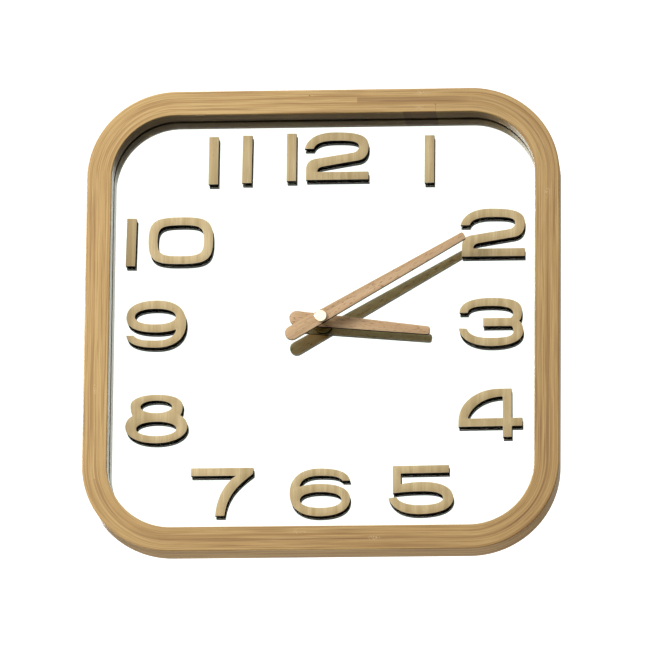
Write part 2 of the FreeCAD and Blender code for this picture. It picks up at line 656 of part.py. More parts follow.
def movement_cover():
    """Flat lid over the gear cavity, with the back bearings and a well round the knob."""
    half = CASE_INNER - COVER_PLAY
    sheet = block(-half, half, BAY_TOP + COVER_PLAY, half, 0, COVER_THICK)
    bearings = ((HAND_AXIS, 3.2), (THIRD_AXIS, 3.2), (INTERMEDIATE_AXIS, 2.6), (ROTOR_AXIS, 2.4))
    bosses = [disc(BOSS_RADIUS, COVER_THICK - 0.2, top, axis) for axis, top in bearings]
    sockets = [disc(PIVOT_RADIUS + PIVOT_PLAY, SOCKET_FLOOR, top + 1, axis) for axis, top in bearings]
    well = disc(KNOB_WELL_RADIUS, -1, COVER_THICK + 1, KNOB_AXIS)
    return fused(sheet, *bosses).cut(sockets + [well])


# ---- gears --------------------------------------------------------------------------------

def involute(angle):
    return math.tan(angle) - angle


def gear_wire(teeth, module, phase):
    """Closed outline; phase is the direction of one tooth's centre, from +X towards +Z."""
    pitch_radius = teeth * module / 2
    base = pitch_radius * math.cos(PRESSURE_ANGLE)
    tip = pitch_radius + ADDENDUM * module
    root = pitch_radius - DEDENDUM * module
    start = max(base, root) * 1.0001
    half_pitch = math.pi / (2 * teeth) * (1 - BACKLASH)

    def half_width(radius):
        return half_pitch + involute(PRESSURE_ANGLE) - involute(math.acos(min(1.0, base / radius)))

    def polar(radius, angle):
        return point(radius * math.cos(angle), radius * math.sin(angle))

    edges = []
    pitch = 2 * math.pi / teeth
    middle = (start + tip) / 2
    for k in range(teeth):
        centre = phase + k * pitch
        low, high = centre - half_width(start), centre + half_width(start)
        tip_low, tip_high = centre - half_width(tip), centre + half_width(tip)
        if root < start:
            edges.append(Part.makeLine(polar(root, low), polar(start, low)))
        edges.append(Part.Arc(polar(start, low), polar(middle, centre - half_width(middle)),
                              polar(tip, tip_low)).toShape())
        edges.append(Part.Arc(polar(tip, tip_low), polar(tip, centre), polar(tip, tip_high)).toShape())
        edges.append(Part.Arc(polar(tip, tip_high), polar(middle, centre + half_width(middle)),
                              polar(start, high)).toShape())
        if root < start:
            edges.append(Part.makeLine(polar(start, high), polar(root, high)))
        next_low = low + pitch
        edges.append(Part.Arc(polar(min(root, start), high), polar(min(root, start), (high + next_low) / 2),
                              polar(min(root, start), next_low)).toShape())
    return Part.Wire(edges)


def gear(teeth, module, w0, w1, centre, phase):
    solid = plate(gear_wire(teeth, module, phase), w0, w1)
    solid.translate(point(*centre))
    return solid


def mesh_phase(phase, teeth, direction, other_teeth):
    """Phase of a second gear that meshes with the first one, in a direction from the first."""
    offset = (phase - direction) / (2 * math.pi / teeth)
    return direction + math.pi - (offset + 0.5) * 2 * math.pi / other_teeth


def windowed(wheel, centre, hub, rim):
    """Three round lightening windows between hub and rim."""
    radius = (rim - hub) / 2 * 0.8
    holes = [bore(radius, step_from(centre, (hub + rim) / 2, 90 + 120 * k)) for k in range(3)]
    return wheel.cut(holes)


# ---- motion works ---------------------------------------------------------------------------

MOTION_PHASE = mesh_phase(0.0, CANNON_TEETH, MOTION_ANGLE, MOTION_TEETH)


def cannon_pinion():
    pinion = gear(CANNON_TEETH, MOTION_MODULE, *CANNON_PINION_W, HAND_AXIS, 0.0)
    tube = disc(MINUTE_TUBE_RADIUS, CENTRE_HUB_W[0], MINUTE_HAND_BACK + HAND_THICK)
    return fused(pinion, tube).cut(bore(MINUTE_TUBE_BORE))


def hour_wheel():
    phase = mesh_phase(0.0, MOTION_PINION_TEETH, MOTION_ANGLE + math.pi, HOUR_TEETH)
    wheel = gear(HOUR_TEETH, HOUR_MODULE, *HOUR_WHEEL_W, HAND_AXIS, phase)
    wheel = windowed(wheel, HAND_AXIS, 3.0, 7.2)
    tube = disc(HOUR_TUBE_RADIUS, HOUR_TUBE_BACK, HOUR_HAND_BACK + HAND_THICK + 0.6)
    return fused(wheel, tube).cut(bore(HOUR_TUBE_BORE))


def motion_wheel():
    wheel = gear(MOTION_TEETH, MOTION_MODULE, *MOTION_WHEEL_W, MOTION_AXIS, MOTION_PHASE)
    wheel = windowed(wheel, MOTION_AXIS, 2.2, 6.6)
    pinion = gear(MOTION_PINION_TEETH, HOUR_MODULE, *MOTION_PINION_W, MOTION_AXIS, 0.0)
    return fused(wheel, pinion).cut(bore(STUD_RADIUS + STUD_PLAY, MOTION_AXIS))


def set_knob():
    """Fluted grip in the cover's well, a stem and a pinion that turns the motion wheel."""
    phase = mesh_phase(MOTION_PHASE, MOTION_TEETH, math.radians(KNOB_DIRECTION), KNOB_TEETH)
    grip = disc(KNOB_RADIUS, *KNOB_GRIP_W, KNOB_AXIS)
    flutes = [disc(FLUTE_RADIUS, 0, 3, step_from(KNOB_AXIS, KNOB_RADIUS + 0.2, 360 / FLUTE_COUNT * k))
              for k in range(FLUTE_COUNT)]
    stem = disc(KNOB_STEM_RADIUS, KNOB_GRIP_W[1], KNOB_PINION_W[0], KNOB_AXIS)
    pinion = gear(KNOB_TEETH, MOTION_MODULE, *KNOB_PINION_W, KNOB_AXIS, phase)
    return fused(grip.cut(flutes), stem, pinion)


# ---- going train ------------------------------------------------------------------------------

def arbor(centre, shoulder_back, shoulder_front):
    shoulder = disc(ARBOR_RADIUS + 0.1, shoulder_back, shoulder_front, centre)
    return fused(shoulder, disc(PIVOT_RADIUS, *PIVOT_W, centre))


def rotor_pinion():
    pinion = gear(ROTOR_TEETH, ROTOR_MODULE, *ROTOR_PINION_W, ROTOR_AXIS, 0.0)
    return fused(pinion, disc(PIVOT_RADIUS, *PIVOT_W, ROTOR_AXIS))


def rotor_magnet():
    return ring(MAGNET_RADIUS, PIVOT_RADIUS, *MAGNET_W, ROTOR_AXIS)


def intermediate_wheel():
    phase = mesh_phase(0.0, ROTOR_TEETH, ROTOR_ANGLE + math.pi, INTERMEDIATE_TEETH)
    wheel = gear(INTERMEDIATE_TEETH, ROTOR_MODULE, *INTERMEDIATE_WHEEL_W, INTERMEDIATE_AXIS, phase)
    wheel = windowed(wheel, INTERMEDIATE_AXIS, 2.4, 5.2)
    pinion = gear(INTERMEDIATE_PINION_TEETH, SECONDS_MODULE, *INTERMEDIATE_PINION_W,
                  INTERMEDIATE_AXIS, 0.0)
    return fused(wheel, pinion, arbor(INTERMEDIATE_AXIS, *INTERMEDIATE_SHOULDER_W))


def seconds_wheel():
    phase = mesh_phase(0.0, INTERMEDIATE_PINION_TEETH, INTERMEDIATE_ANGLE + math.pi, SECONDS_TEETH)
    wheel = gear(SECONDS_TEETH, SECONDS_MODULE, *SECONDS_WHEEL_W, HAND_AXIS, phase)
    wheel = windowed(wheel, HAND_AXIS, 2.2, 7.8)
    pinion = gear(SECONDS_PINION_TEETH, THIRD_MODULE, *SECONDS_PINION_W, HAND_AXIS, 0.0)
    return fused(wheel, pinion).cut(bore(ARBOR_RADIUS))


def seconds_arbor():
    return fused(disc(ARBOR_RADIUS, SECONDS_SHOULDER, MINUTE_HAND_BACK + HAND_THICK - 0.6),
                 disc(PIVOT_RADIUS, PIVOT_W[0], SECONDS_SHOULDER + 0.1))


def third_wheel():
    phase = mesh_phase(0.0, SECONDS_PINION_TEETH, THIRD_ANGLE, THIRD_TEETH)
    wheel = gear(THIRD_TEETH, THIRD_MODULE, *THIRD_WHEEL_W, THIRD_AXIS, phase)
    wheel = windowed(wheel, THIRD_AXIS, 2.0, 8.0)
    pinion = gear(THIRD_PINION_TEETH, CENTRE_MODULE, *THIRD_PINION_W, THIRD_AXIS, 0.0)
    return fused(wheel, pinion, arbor(THIRD_AXIS, *THIRD_SHOULDER_W))


def centre_wheel():
    """Held on the cannon pinion's sleeve by friction, so the hands can be set."""
    phase = mesh_phase(0.0, THIRD_PINION_TEETH, THIRD_ANGLE + math.pi, CENTRE_TEETH)
    wheel = gear(CENTRE_TEETH, CENTRE_MODULE, *CENTRE_WHEEL_W, HAND_AXIS, phase)
    wheel = windowed(wheel, HAND_AXIS, 2.8, 7.8)
    hub = disc(CENTRE_HUB_RADIUS, *CENTRE_HUB_W)
    return fused(wheel, hub).cut(bore(MINUTE_TUBE_RADIUS + 0.03))


def train_plate():
    """Middle plate: front bearings of the train and the stud that the motion wheel turns on."""
    sheet = plate(rounded_box(-25.5, 26.4, -9.6, 17.6, 2), PLATE_BACK, PLATE_FRONT)
    stud = disc(STUD_RADIUS, PLATE_FRONT - 0.2, CASE_CAVITY_FRONT, MOTION_AXIS)
    bearings = [bore(PIVOT_RADIUS + PIVOT_PLAY, axis)
                for axis in (THIRD_AXIS, INTERMEDIATE_AXIS, ROTOR_AXIS)]
    passages = [bore(MINUTE_TUBE_RADIUS + 0.3), bore(KNOB_STEM_RADIUS + 0.05, KNOB_AXIS)]
    pin_holes = [bore(PIN_RADIUS, place) for place in POSTS]
    return fused(sheet, stud).cut(bearings + passages + pin_holes)


# ---- step motor and electronics ---------------------------------------------------------------

def stator():
    """A ring round the rotor with two legs up to the ends of the coil's core."""
    x, z = ROTOR_AXIS
    ring_plate = disc(STATOR_RADIUS, STATOR_BACK, STATOR_FRONT, ROTOR_AXIS)
    legs = []
    for side, (foot_x, foot_z) in zip((-1, 1), CORE_FEET):
        outer, inner = foot_x + side * CORE_HALF_WIDTH, foot_x - side * CORE_HALF_WIDTH
        outline = drawn((x + side * 5.2, z - 1.5), [
            (outer, foot_z - 6.5), (outer, foot_z + 2.6), (inner, foot_z + 2.6), (inner, foot_z - 4.5),
            (x + side * 2.5, z + 4.4)])
        legs.append(plate(outline, STATOR_BACK, STATOR_FRONT))
    holes = [bore(FOOT_SCREW_RADIUS, foot) for foot in CORE_FEET]
    return fused(ring_plate, *legs).cut([bore(STATOR_BORE, ROTOR_AXIS)] + holes)


def coil_core():
    """Soft iron strip through the bobbin; its ends lie on the stator's feet."""
    strip = block(CORE_FEET[0][0] - CORE_HALF_WIDTH, CORE_FEET[1][0] + CORE_HALF_WIDTH,
                  CORE_LOW, CORE_HIGH, STATOR_FRONT, CORE_FRONT)
    return strip.cut([bore(FOOT_SCREW_RADIUS, foot) for foot in CORE_FEET])


def along_x(radius, x0, x1, centre=COIL_CENTRE):
    """A cylinder from x0 to x1; its centre is (z, w)."""
    return Part.makeCylinder(radius, x1 - x0, point(x0, *centre), Vector(1, 0, 0))


def coil_bobbin():
    """Barrel and end cheeks; the strip's slot is cut clear of them."""
    barrel = fused(along_x(BARREL_RADIUS, BOBBIN_X0, BOBBIN_X1),
                   along_x(CHEEK_RADIUS, BOBBIN_X0, BOBBIN_X0 + CHEEK_THICK),
                   along_x(CHEEK_RADIUS, BOBBIN_X1 - CHEEK_THICK, BOBBIN_X1))
    slot = block(BOBBIN_X0 - 1, BOBBIN_X1 + 1, CORE_LOW, CORE_HIGH, STATOR_FRONT, CORE_FRONT)
    return barrel.cut(slot)


def coil_winding():
    outer = along_x(WINDING_RADIUS, BOBBIN_X0 + CHEEK_THICK, BOBBIN_X1 - CHEEK_THICK)
    return outer.cut(along_x(BARREL_RADIUS, BOBBIN_X0, BOBBIN_X1))


def stator_screws():
    screws = []
    for foot in CORE_FEET:
        head = disc(FOOT_SCREW_HEAD_RADIUS, CORE_FRONT, CORE_FRONT + 1.0, foot)
        screws.append(fused(head, disc(FOOT_SCREW_RADIUS, STATOR_BACK - 1.2, CORE_FRONT, foot)))
    return group(screws)


def circuit_board():
    outline = rounded_box(CIRCUIT_X0, CIRCUIT_X1, CIRCUIT_Z0, CIRCUIT_Z1, 0.6)
    return plate(outline, CIRCUIT_BACK, CIRCUIT_FRONT)


def chip_blob():
    """Shallow dome of black resin over the bare chip."""
    x, z = BLOB_CENTRE
    sphere_radius = (BLOB_RADIUS ** 2 + BLOB_HEIGHT ** 2) / (2 * BLOB_HEIGHT)
    ball = Part.makeSphere(sphere_radius, point(x, z, CIRCUIT_FRONT + BLOB_HEIGHT - sphere_radius))
    return ball.common(block(x - 2 * BLOB_RADIUS, x + 2 * BLOB_RADIUS, z - 2 * BLOB_RADIUS,
                             z + 2 * BLOB_RADIUS, CIRCUIT_FRONT, CIRCUIT_FRONT + 2 * BLOB_HEIGHT))


def quartz_crystal():
    can = Part.makeCylinder(CRYSTAL_RADIUS, CRYSTAL_LENGTH,
                            point(*CRYSTAL_CENTRE, CIRCUIT_FRONT + CRYSTAL_RADIUS), Vector(0, 0, 1))
    return can.makeChamfer(0.2, [can.Edges[0], can.Edges[2]])


def coil_leads():
    """Two fine enamelled wires from the bobbin's left cheek to pads on the board."""
    wires = []
    for z in (COIL_Z - 1.6, COIL_Z + 3.4):
        start = point(BOBBIN_X0, z, 6.2)
        run = point(CIRCUIT_X1 - 0.3, z, CIRCUIT_FRONT + LEAD_RADIUS) - start
        wires.append(Part.makeCylinder(LEAD_RADIUS, run.Length, start, run))
    return group(wires)


def battery_positive_contact():
    """Spring steel leaf at the cell's button, led up the wall and along the top to the board."""
    x1 = CASE_INNER
    x0 = x1 - CONTACT_THICK
    lead_end, foot_end = -12.0, -9.0
    pad = block(x0, x1, BATTERY_Z - 5, BAY_FLOOR, *CONTACT_PAD_W)
    riser = block(x0, x1, BAY_FLOOR - 0.1, x1, *CONTACT_LEAD_W)
    lead = block(lead_end, x1, x0, x1, *CONTACT_LEAD_W)
    foot = block(lead_end, foot_end, CIRCUIT_Z1 - 0.1, x0 + 0.1, CIRCUIT_FRONT,
                 CIRCUIT_FRONT + CONTACT_THICK)
    return fused(pad, riser, lead, foot)


def battery_negative_contact():
    """Leaf with a raised conical seat against the cell's flat end."""
    x0 = -CASE_INNER
    x1 = x0 + CONTACT_THICK
    top = 20.0
    pad = block(x0, x1, BATTERY_Z - 5, BAY_FLOOR, *CONTACT_PAD_W)
    riser = block(x0, x1, BAY_FLOOR - 0.1, top, *CONTACT_LEAD_W)
    foot = block(x0, CIRCUIT_X0 + 0.7, top - 2, top, CIRCUIT_FRONT, CIRCUIT_FRONT + CONTACT_THICK)
    seat_height = 2 * CASE_INNER - 2 * CONTACT_THICK - BATTERY_LENGTH
    seat = Part.makeCone(4.2, 2.2, seat_height, point(x1, BATTERY_Z, BATTERY_W), Vector(1, 0, 0))
    return fused(pad, riser, foot, seat)


def aa_battery():
    end = CASE_INNER - CONTACT_THICK
    start = end - BATTERY_LENGTH
    centre = (BATTERY_Z, BATTERY_W)
    can = along_x(BATTERY_RADIUS, start, end - BUTTON_LENGTH, centre)
    can = can.makeFillet(BATTERY_ROUND, [can.Edges[0], can.Edges[2]])
    return fused(can, along_x(BUTTON_RADIUS, end - BUTTON_LENGTH - BATTERY_ROUND, end, centre))


# ---- the whole clock ------------------------------------------------------------------------

def build():
    os.makedirs("parts", exist_ok=True)
    shapes = {
        "bamboo_frame": frame_with_pilot_holes(),
        "mirror_glass": rebate_panel(GLASS_HOLE_RADIUS, GLASS_BACK, GLASS_FRONT),
        "mounting_tape": mounting_tape(),
        "back_board": rebate_panel(BOARD_HOLE_RADIUS, BOARD_BACK, BOARD_FRONT),
        "retaining_plates": retaining_plates(),
        "plate_screws": plate_screws(),
        "minute_hand": minute_hand(),
        "minute_hand_bush": minute_hand_bush(),
        "hand_cap": hand_cap(),
        "hour_hand": hour_hand(),
        "hour_hand_bush": hour_hand_bush(),
        "threaded_bushing": threaded_bushing(),
        "rubber_gasket": rubber_gasket(),
        "neck_washer": neck_washer(),
        "hex_nut": hex_nut(),
        "movement_case": movement_case(),
        "movement_cover": movement_cover(),
        "train_plate": train_plate(),
        "cannon_pinion": cannon_pinion(),
        "hour_wheel": hour_wheel(),
        "motion_wheel": motion_wheel(),
        "set_knob": set_knob(),
        "rotor_pinion": rotor_pinion(),
        "rotor_magnet": rotor_magnet(),
        "intermediate_wheel": intermediate_wheel(),
        "seconds_wheel": seconds_wheel(),
        "seconds_arbor": seconds_arbor(),
        "third_wheel": third_wheel(),
        "centre_wheel": centre_wheel(),
        "stator": stator(),
        "stator_screws": stator_screws(),
        "coil_core": coil_core(),
        "coil_bobbin": coil_bobbin(),
        "coil_winding": coil_winding(),
        "coil_leads": coil_leads(),
        "circuit_board": circuit_board(),
        "chip_blob": chip_blob(),
        "quartz_crystal": quartz_crystal(),
        "battery_positive_contact": battery_positive_contact(),
        "battery_negative_contact": battery_negative_contact(),
        "aa_battery": aa_battery(),
    }
    for hour, digits in NUMERALS.items():
        shapes["numeral_%d" % hour] = group(loose_digit(*digit) for digit in digits)
    for name, shape in shapes.items():
        save(name, shape)
        print("%-26s solids %d  volume %10.2f  valid %s" % (
            name, len(shape.Solids), shape.Volume, shape.isValid()))


build()
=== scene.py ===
"""Looks of the square bamboo wall clock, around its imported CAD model. Metres, +Z up, Y into the wall."""
import math

import bmesh
import bpy
from mathutils import Matrix, Vector


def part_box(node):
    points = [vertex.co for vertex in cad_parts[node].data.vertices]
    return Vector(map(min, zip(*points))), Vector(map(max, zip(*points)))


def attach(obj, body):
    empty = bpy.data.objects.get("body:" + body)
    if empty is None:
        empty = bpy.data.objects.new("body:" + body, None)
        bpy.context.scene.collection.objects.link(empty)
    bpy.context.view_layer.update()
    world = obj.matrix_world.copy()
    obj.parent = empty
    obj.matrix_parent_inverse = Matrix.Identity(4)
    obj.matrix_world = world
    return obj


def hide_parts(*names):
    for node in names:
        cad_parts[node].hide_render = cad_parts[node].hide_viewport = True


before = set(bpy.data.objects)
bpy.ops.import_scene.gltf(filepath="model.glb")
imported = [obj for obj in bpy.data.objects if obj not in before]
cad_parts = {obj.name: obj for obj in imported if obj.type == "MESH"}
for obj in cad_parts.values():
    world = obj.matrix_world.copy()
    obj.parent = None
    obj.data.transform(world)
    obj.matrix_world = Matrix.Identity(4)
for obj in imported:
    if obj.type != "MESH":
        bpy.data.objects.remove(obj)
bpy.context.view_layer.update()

MM = 0.001


def srgb(r, g, b):
    """A display colour, 0 to 255, as linear RGB."""
    def linear(c):
        c = c / 255
        return c / 12.92 if c <= 0.04045 else ((c + 0.055) / 1.055) ** 2.4
    return (linear(r), linear(g), linear(b), 1.0)


def grey(value):
    return (value, value, value, 1.0)


# ---- measures of the frame and the pane -----------------------------------------------------

frame_low, frame_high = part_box("bamboo_frame")
glass_low, glass_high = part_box("mirror_glass")
HALF_SIDE = frame_high.x
FRAME_FRONT = -frame_low.y
FRAME_BACK = -frame_high.y
GLASS_FRONT = -glass_low.y
REBATE_PLAY = 0.5 * MM
AIR_GAP = 0.05 * MM
REBATE_HALF = glass_high.x + REBATE_PLAY
RAIL_WIDTH = 18.3 * MM
OUTER_CORNER = 66 * MM


# ---- shader helpers -----------------------------------------------------------------------

class Nodes:
    """A node tree, with short names for the nodes that the materials and the world share."""

    def __init__(self, tree):
        self.tree = tree

    def put(self, socket, value):
        if isinstance(value, bpy.types.NodeSocket):
            self.tree.links.new(value, socket)
        else:
            socket.default_value = value

    def add(self, kind, inputs=(), **settings):
        node = self.tree.nodes.new("ShaderNode" + kind)
        for key, value in settings.items():
            setattr(node, key, value)
        for key, value in dict(inputs).items():
            self.put(node.inputs[key], value)
        return node

    def math(self, operation, a, b=0.0, clamp=False):
        return self.add("Math", {0: a, 1: b}, operation=operation, use_clamp=clamp).outputs[0]

    def plus(self, a, b):
        return self.math("ADD", a, b)

    def minus(self, a, b, clamp=False):
        return self.math("SUBTRACT", a, b, clamp)

    def times(self, *factors):
        product = factors[0]
        for factor in factors[1:]:
            product = self.math("MULTIPLY", product, factor)
        return product

    def square(self, value):
        return self.math("POWER", value, 2.0)

    def above(self, value, limit):
        return self.math("GREATER_THAN", value, limit)

    def split(self, vector):
        return self.add("SeparateXYZ", {0: vector}).outputs

    def join(self, x, y, z):
        return self.add("CombineXYZ", {0: x, 1: y, 2: z}).outputs[0]

    def noise(self, vector, scale, detail=3.0, rough=0.55, distort=0.0, w=None):
        """Noise in three dimensions, or in four when w is given."""
        inputs = {"Vector": vector, "Scale": scale, "Detail": detail, "Roughness": rough,
                  "Distortion": distort}
        if w is None:
            return self.add("TexNoise", inputs).outputs["Fac"]
        return self.add("TexNoise", {**inputs, "W": w}, noise_dimensions="4D").outputs["Fac"]

    def ramp(self, factor, stops):
        node = self.add("ValToRGB", {0: factor})
        elements = node.color_ramp.elements
        while len(elements) < len(stops):
            elements.new(0.5)
        for element, (place, colour) in zip(elements, stops):
            element.position = place
            element.color = colour
        return node.outputs[0]

    def rise(self, value, low, high):
        """0 below low and 1 above high."""
        return self.ramp(value, [(low, grey(0)), (high, grey(1))])

    def fall(self, value, low, high):
        """1 below low and 0 above high."""
        return self.ramp(value, [(low, grey(1)), (high, grey(0))])

    def step(self, value, edge, soft, start=0.0, end=1.0):
        """Goes smoothly from start to end where value passes edge, over soft on each side."""
        inputs = {"Value": value, 1: edge - soft, 2: edge + soft, 3: start, 4: end}
        return self.add("MapRange", inputs, interpolation_type="SMOOTHSTEP").outputs[0]

    def band(self, value, low, high, soft):
        """1 between low and high, fading to 0 over soft on each side."""
        return self.times(self.step(value, low, soft), self.step(value, high, soft, 1.0, 0.0))

    def mix(self, factor, a, b, blend="MIX"):
        node = self.add("Mix", data_type="RGBA", blend_type=blend)
        self.put(node.inputs[0], factor)
        self.put(node.inputs[6], a)
        self.put(node.inputs[7], b)
        return node.outputs[2]

    def tinted(self, colour, tint):
        return self.mix(1.0, colour, tint, "MULTIPLY")

    def over(self, colour, tone, mask, strength):
        """colour, with tone laid over it where mask is 1."""
        return self.mix(self.times(mask, strength), colour, tone)

    def lerp(self, factor, low, high):
        return self.add("MapRange", {"Value": factor, 3: low, 4: high}).outputs[0]


class Shader(Nodes):
    """One material and its node tree. Its noises lie in the object's own coordinates, in metres."""

    def __init__(self, name):
        self.material = bpy.data.materials.new(name)
        self.material.use_nodes = True
        super().__init__(self.material.node_tree)

    def coords(self, scale=(1, 1, 1), turn=(0, 0, 0)):
        source = self.add("TexCoord").outputs["Object"]
        if turn != (0, 0, 0):
            source = self.add("Mapping", {"Vector": source, "Rotation": turn}).outputs[0]
        return self.add("Mapping", {"Vector": source, "Scale": scale}).outputs[0]

    def bump(self, height, depth, strength, normal=None):
        node = self.add("Bump", {"Height": height, "Distance": depth, "Strength": strength})
        if normal is not None:
            self.put(node.inputs["Normal"], normal)
        return node.outputs[0]

    def finish(self, **sockets):
        """Sets the surface shader's sockets, which are named with _ for a space."""
        bsdf = self.tree.nodes["Principled BSDF"]
        for key, value in sockets.items():
            self.put(bsdf.inputs[key.replace("_", " ")], value)
        return self.material


# ---- bamboo -------------------------------------------------------------------------------

# places on the front face, (x, z) in metres, where a culm node comes to the surface
BAMBOO_NODES = [(0.071, 0.160), (0.073, 0.1715), (0.166, 0.094), (-0.015, -0.161), (0.040, -0.166),
                (-0.166, -0.052), (-0.128, 0.142)]
NODE_HALF_LENGTH = 5.5 * MM
NODE_HALF_WIDTH = 2.2 * MM
NODE_SHIFT = 2.2 * MM
GRAIN_WANDER = 1.3 * MM

# insets of the glue lines between the plies
PLY_JOINTS = (3.7 * MM, 6.9 * MM, 9.3 * MM, 13.8 * MM)
PLY_JOINT_REACH = 0.42 * MM

STRIP_START = 25 * MM
STRIP_END = 112 * MM
STRIP_FADE = 18 * MM
STRIP_INSET = 8.4 * MM
STRIP_EXTRA = 1.2 * MM
STRIP_WIDTHS = (0.1 * MM, 1.3 * MM)
STRIP_EDGE = 0.3 * MM
RAIL_INSIDE = 120 * MM
RIGHT_OF_STRIP = 110 * MM

BUTT_JOINT = 83 * MM
BUTT_JOINT_WIDTH = 0.3 * MM
BUTT_JOINT_INSET = 12.3 * MM
STAIN_LENGTH = 24 * MM
STAIN_INSET = 17.6 * MM
PINHOLES = ((BUTT_JOINT, 162.6 * MM), (-10.3 * MM, 170.4 * MM))
PINHOLE_RADIUS = 0.45 * MM

BAMBOO_BROAD = [(0.30, srgb(180, 144, 86)), (0.44, srgb(199, 167, 108)),
                (0.56, srgb(210, 180, 122)), (0.70, srgb(192, 157, 98))]
BAMBOO_DARK = srgb(150, 113, 62)
BAMBOO_PALE = srgb(224, 196, 140)
BAMBOO_THREAD = srgb(152, 116, 66)
BAMBOO_CLOUD = srgb(184, 146, 88)
FIBRE_TINT = srgb(216, 203, 182)
# tint towards the lower right: partly the bamboo's own browner tone, partly painted shade
LOW_RIGHT_TONE_AND_SHADE = srgb(242, 236, 222)
STRIP_TINT = srgb(208, 194, 182)
GLUE_LINE = srgb(140, 98, 54)
BUTT_GAP = srgb(96, 64, 34)
BUTT_STAIN = srgb(120, 74, 40)
PINHOLE_DARK = srgb(70, 46, 24)
FLAKE_PALE = srgb(232, 206, 152)
FLAKE_DARK = srgb(136, 98, 54)


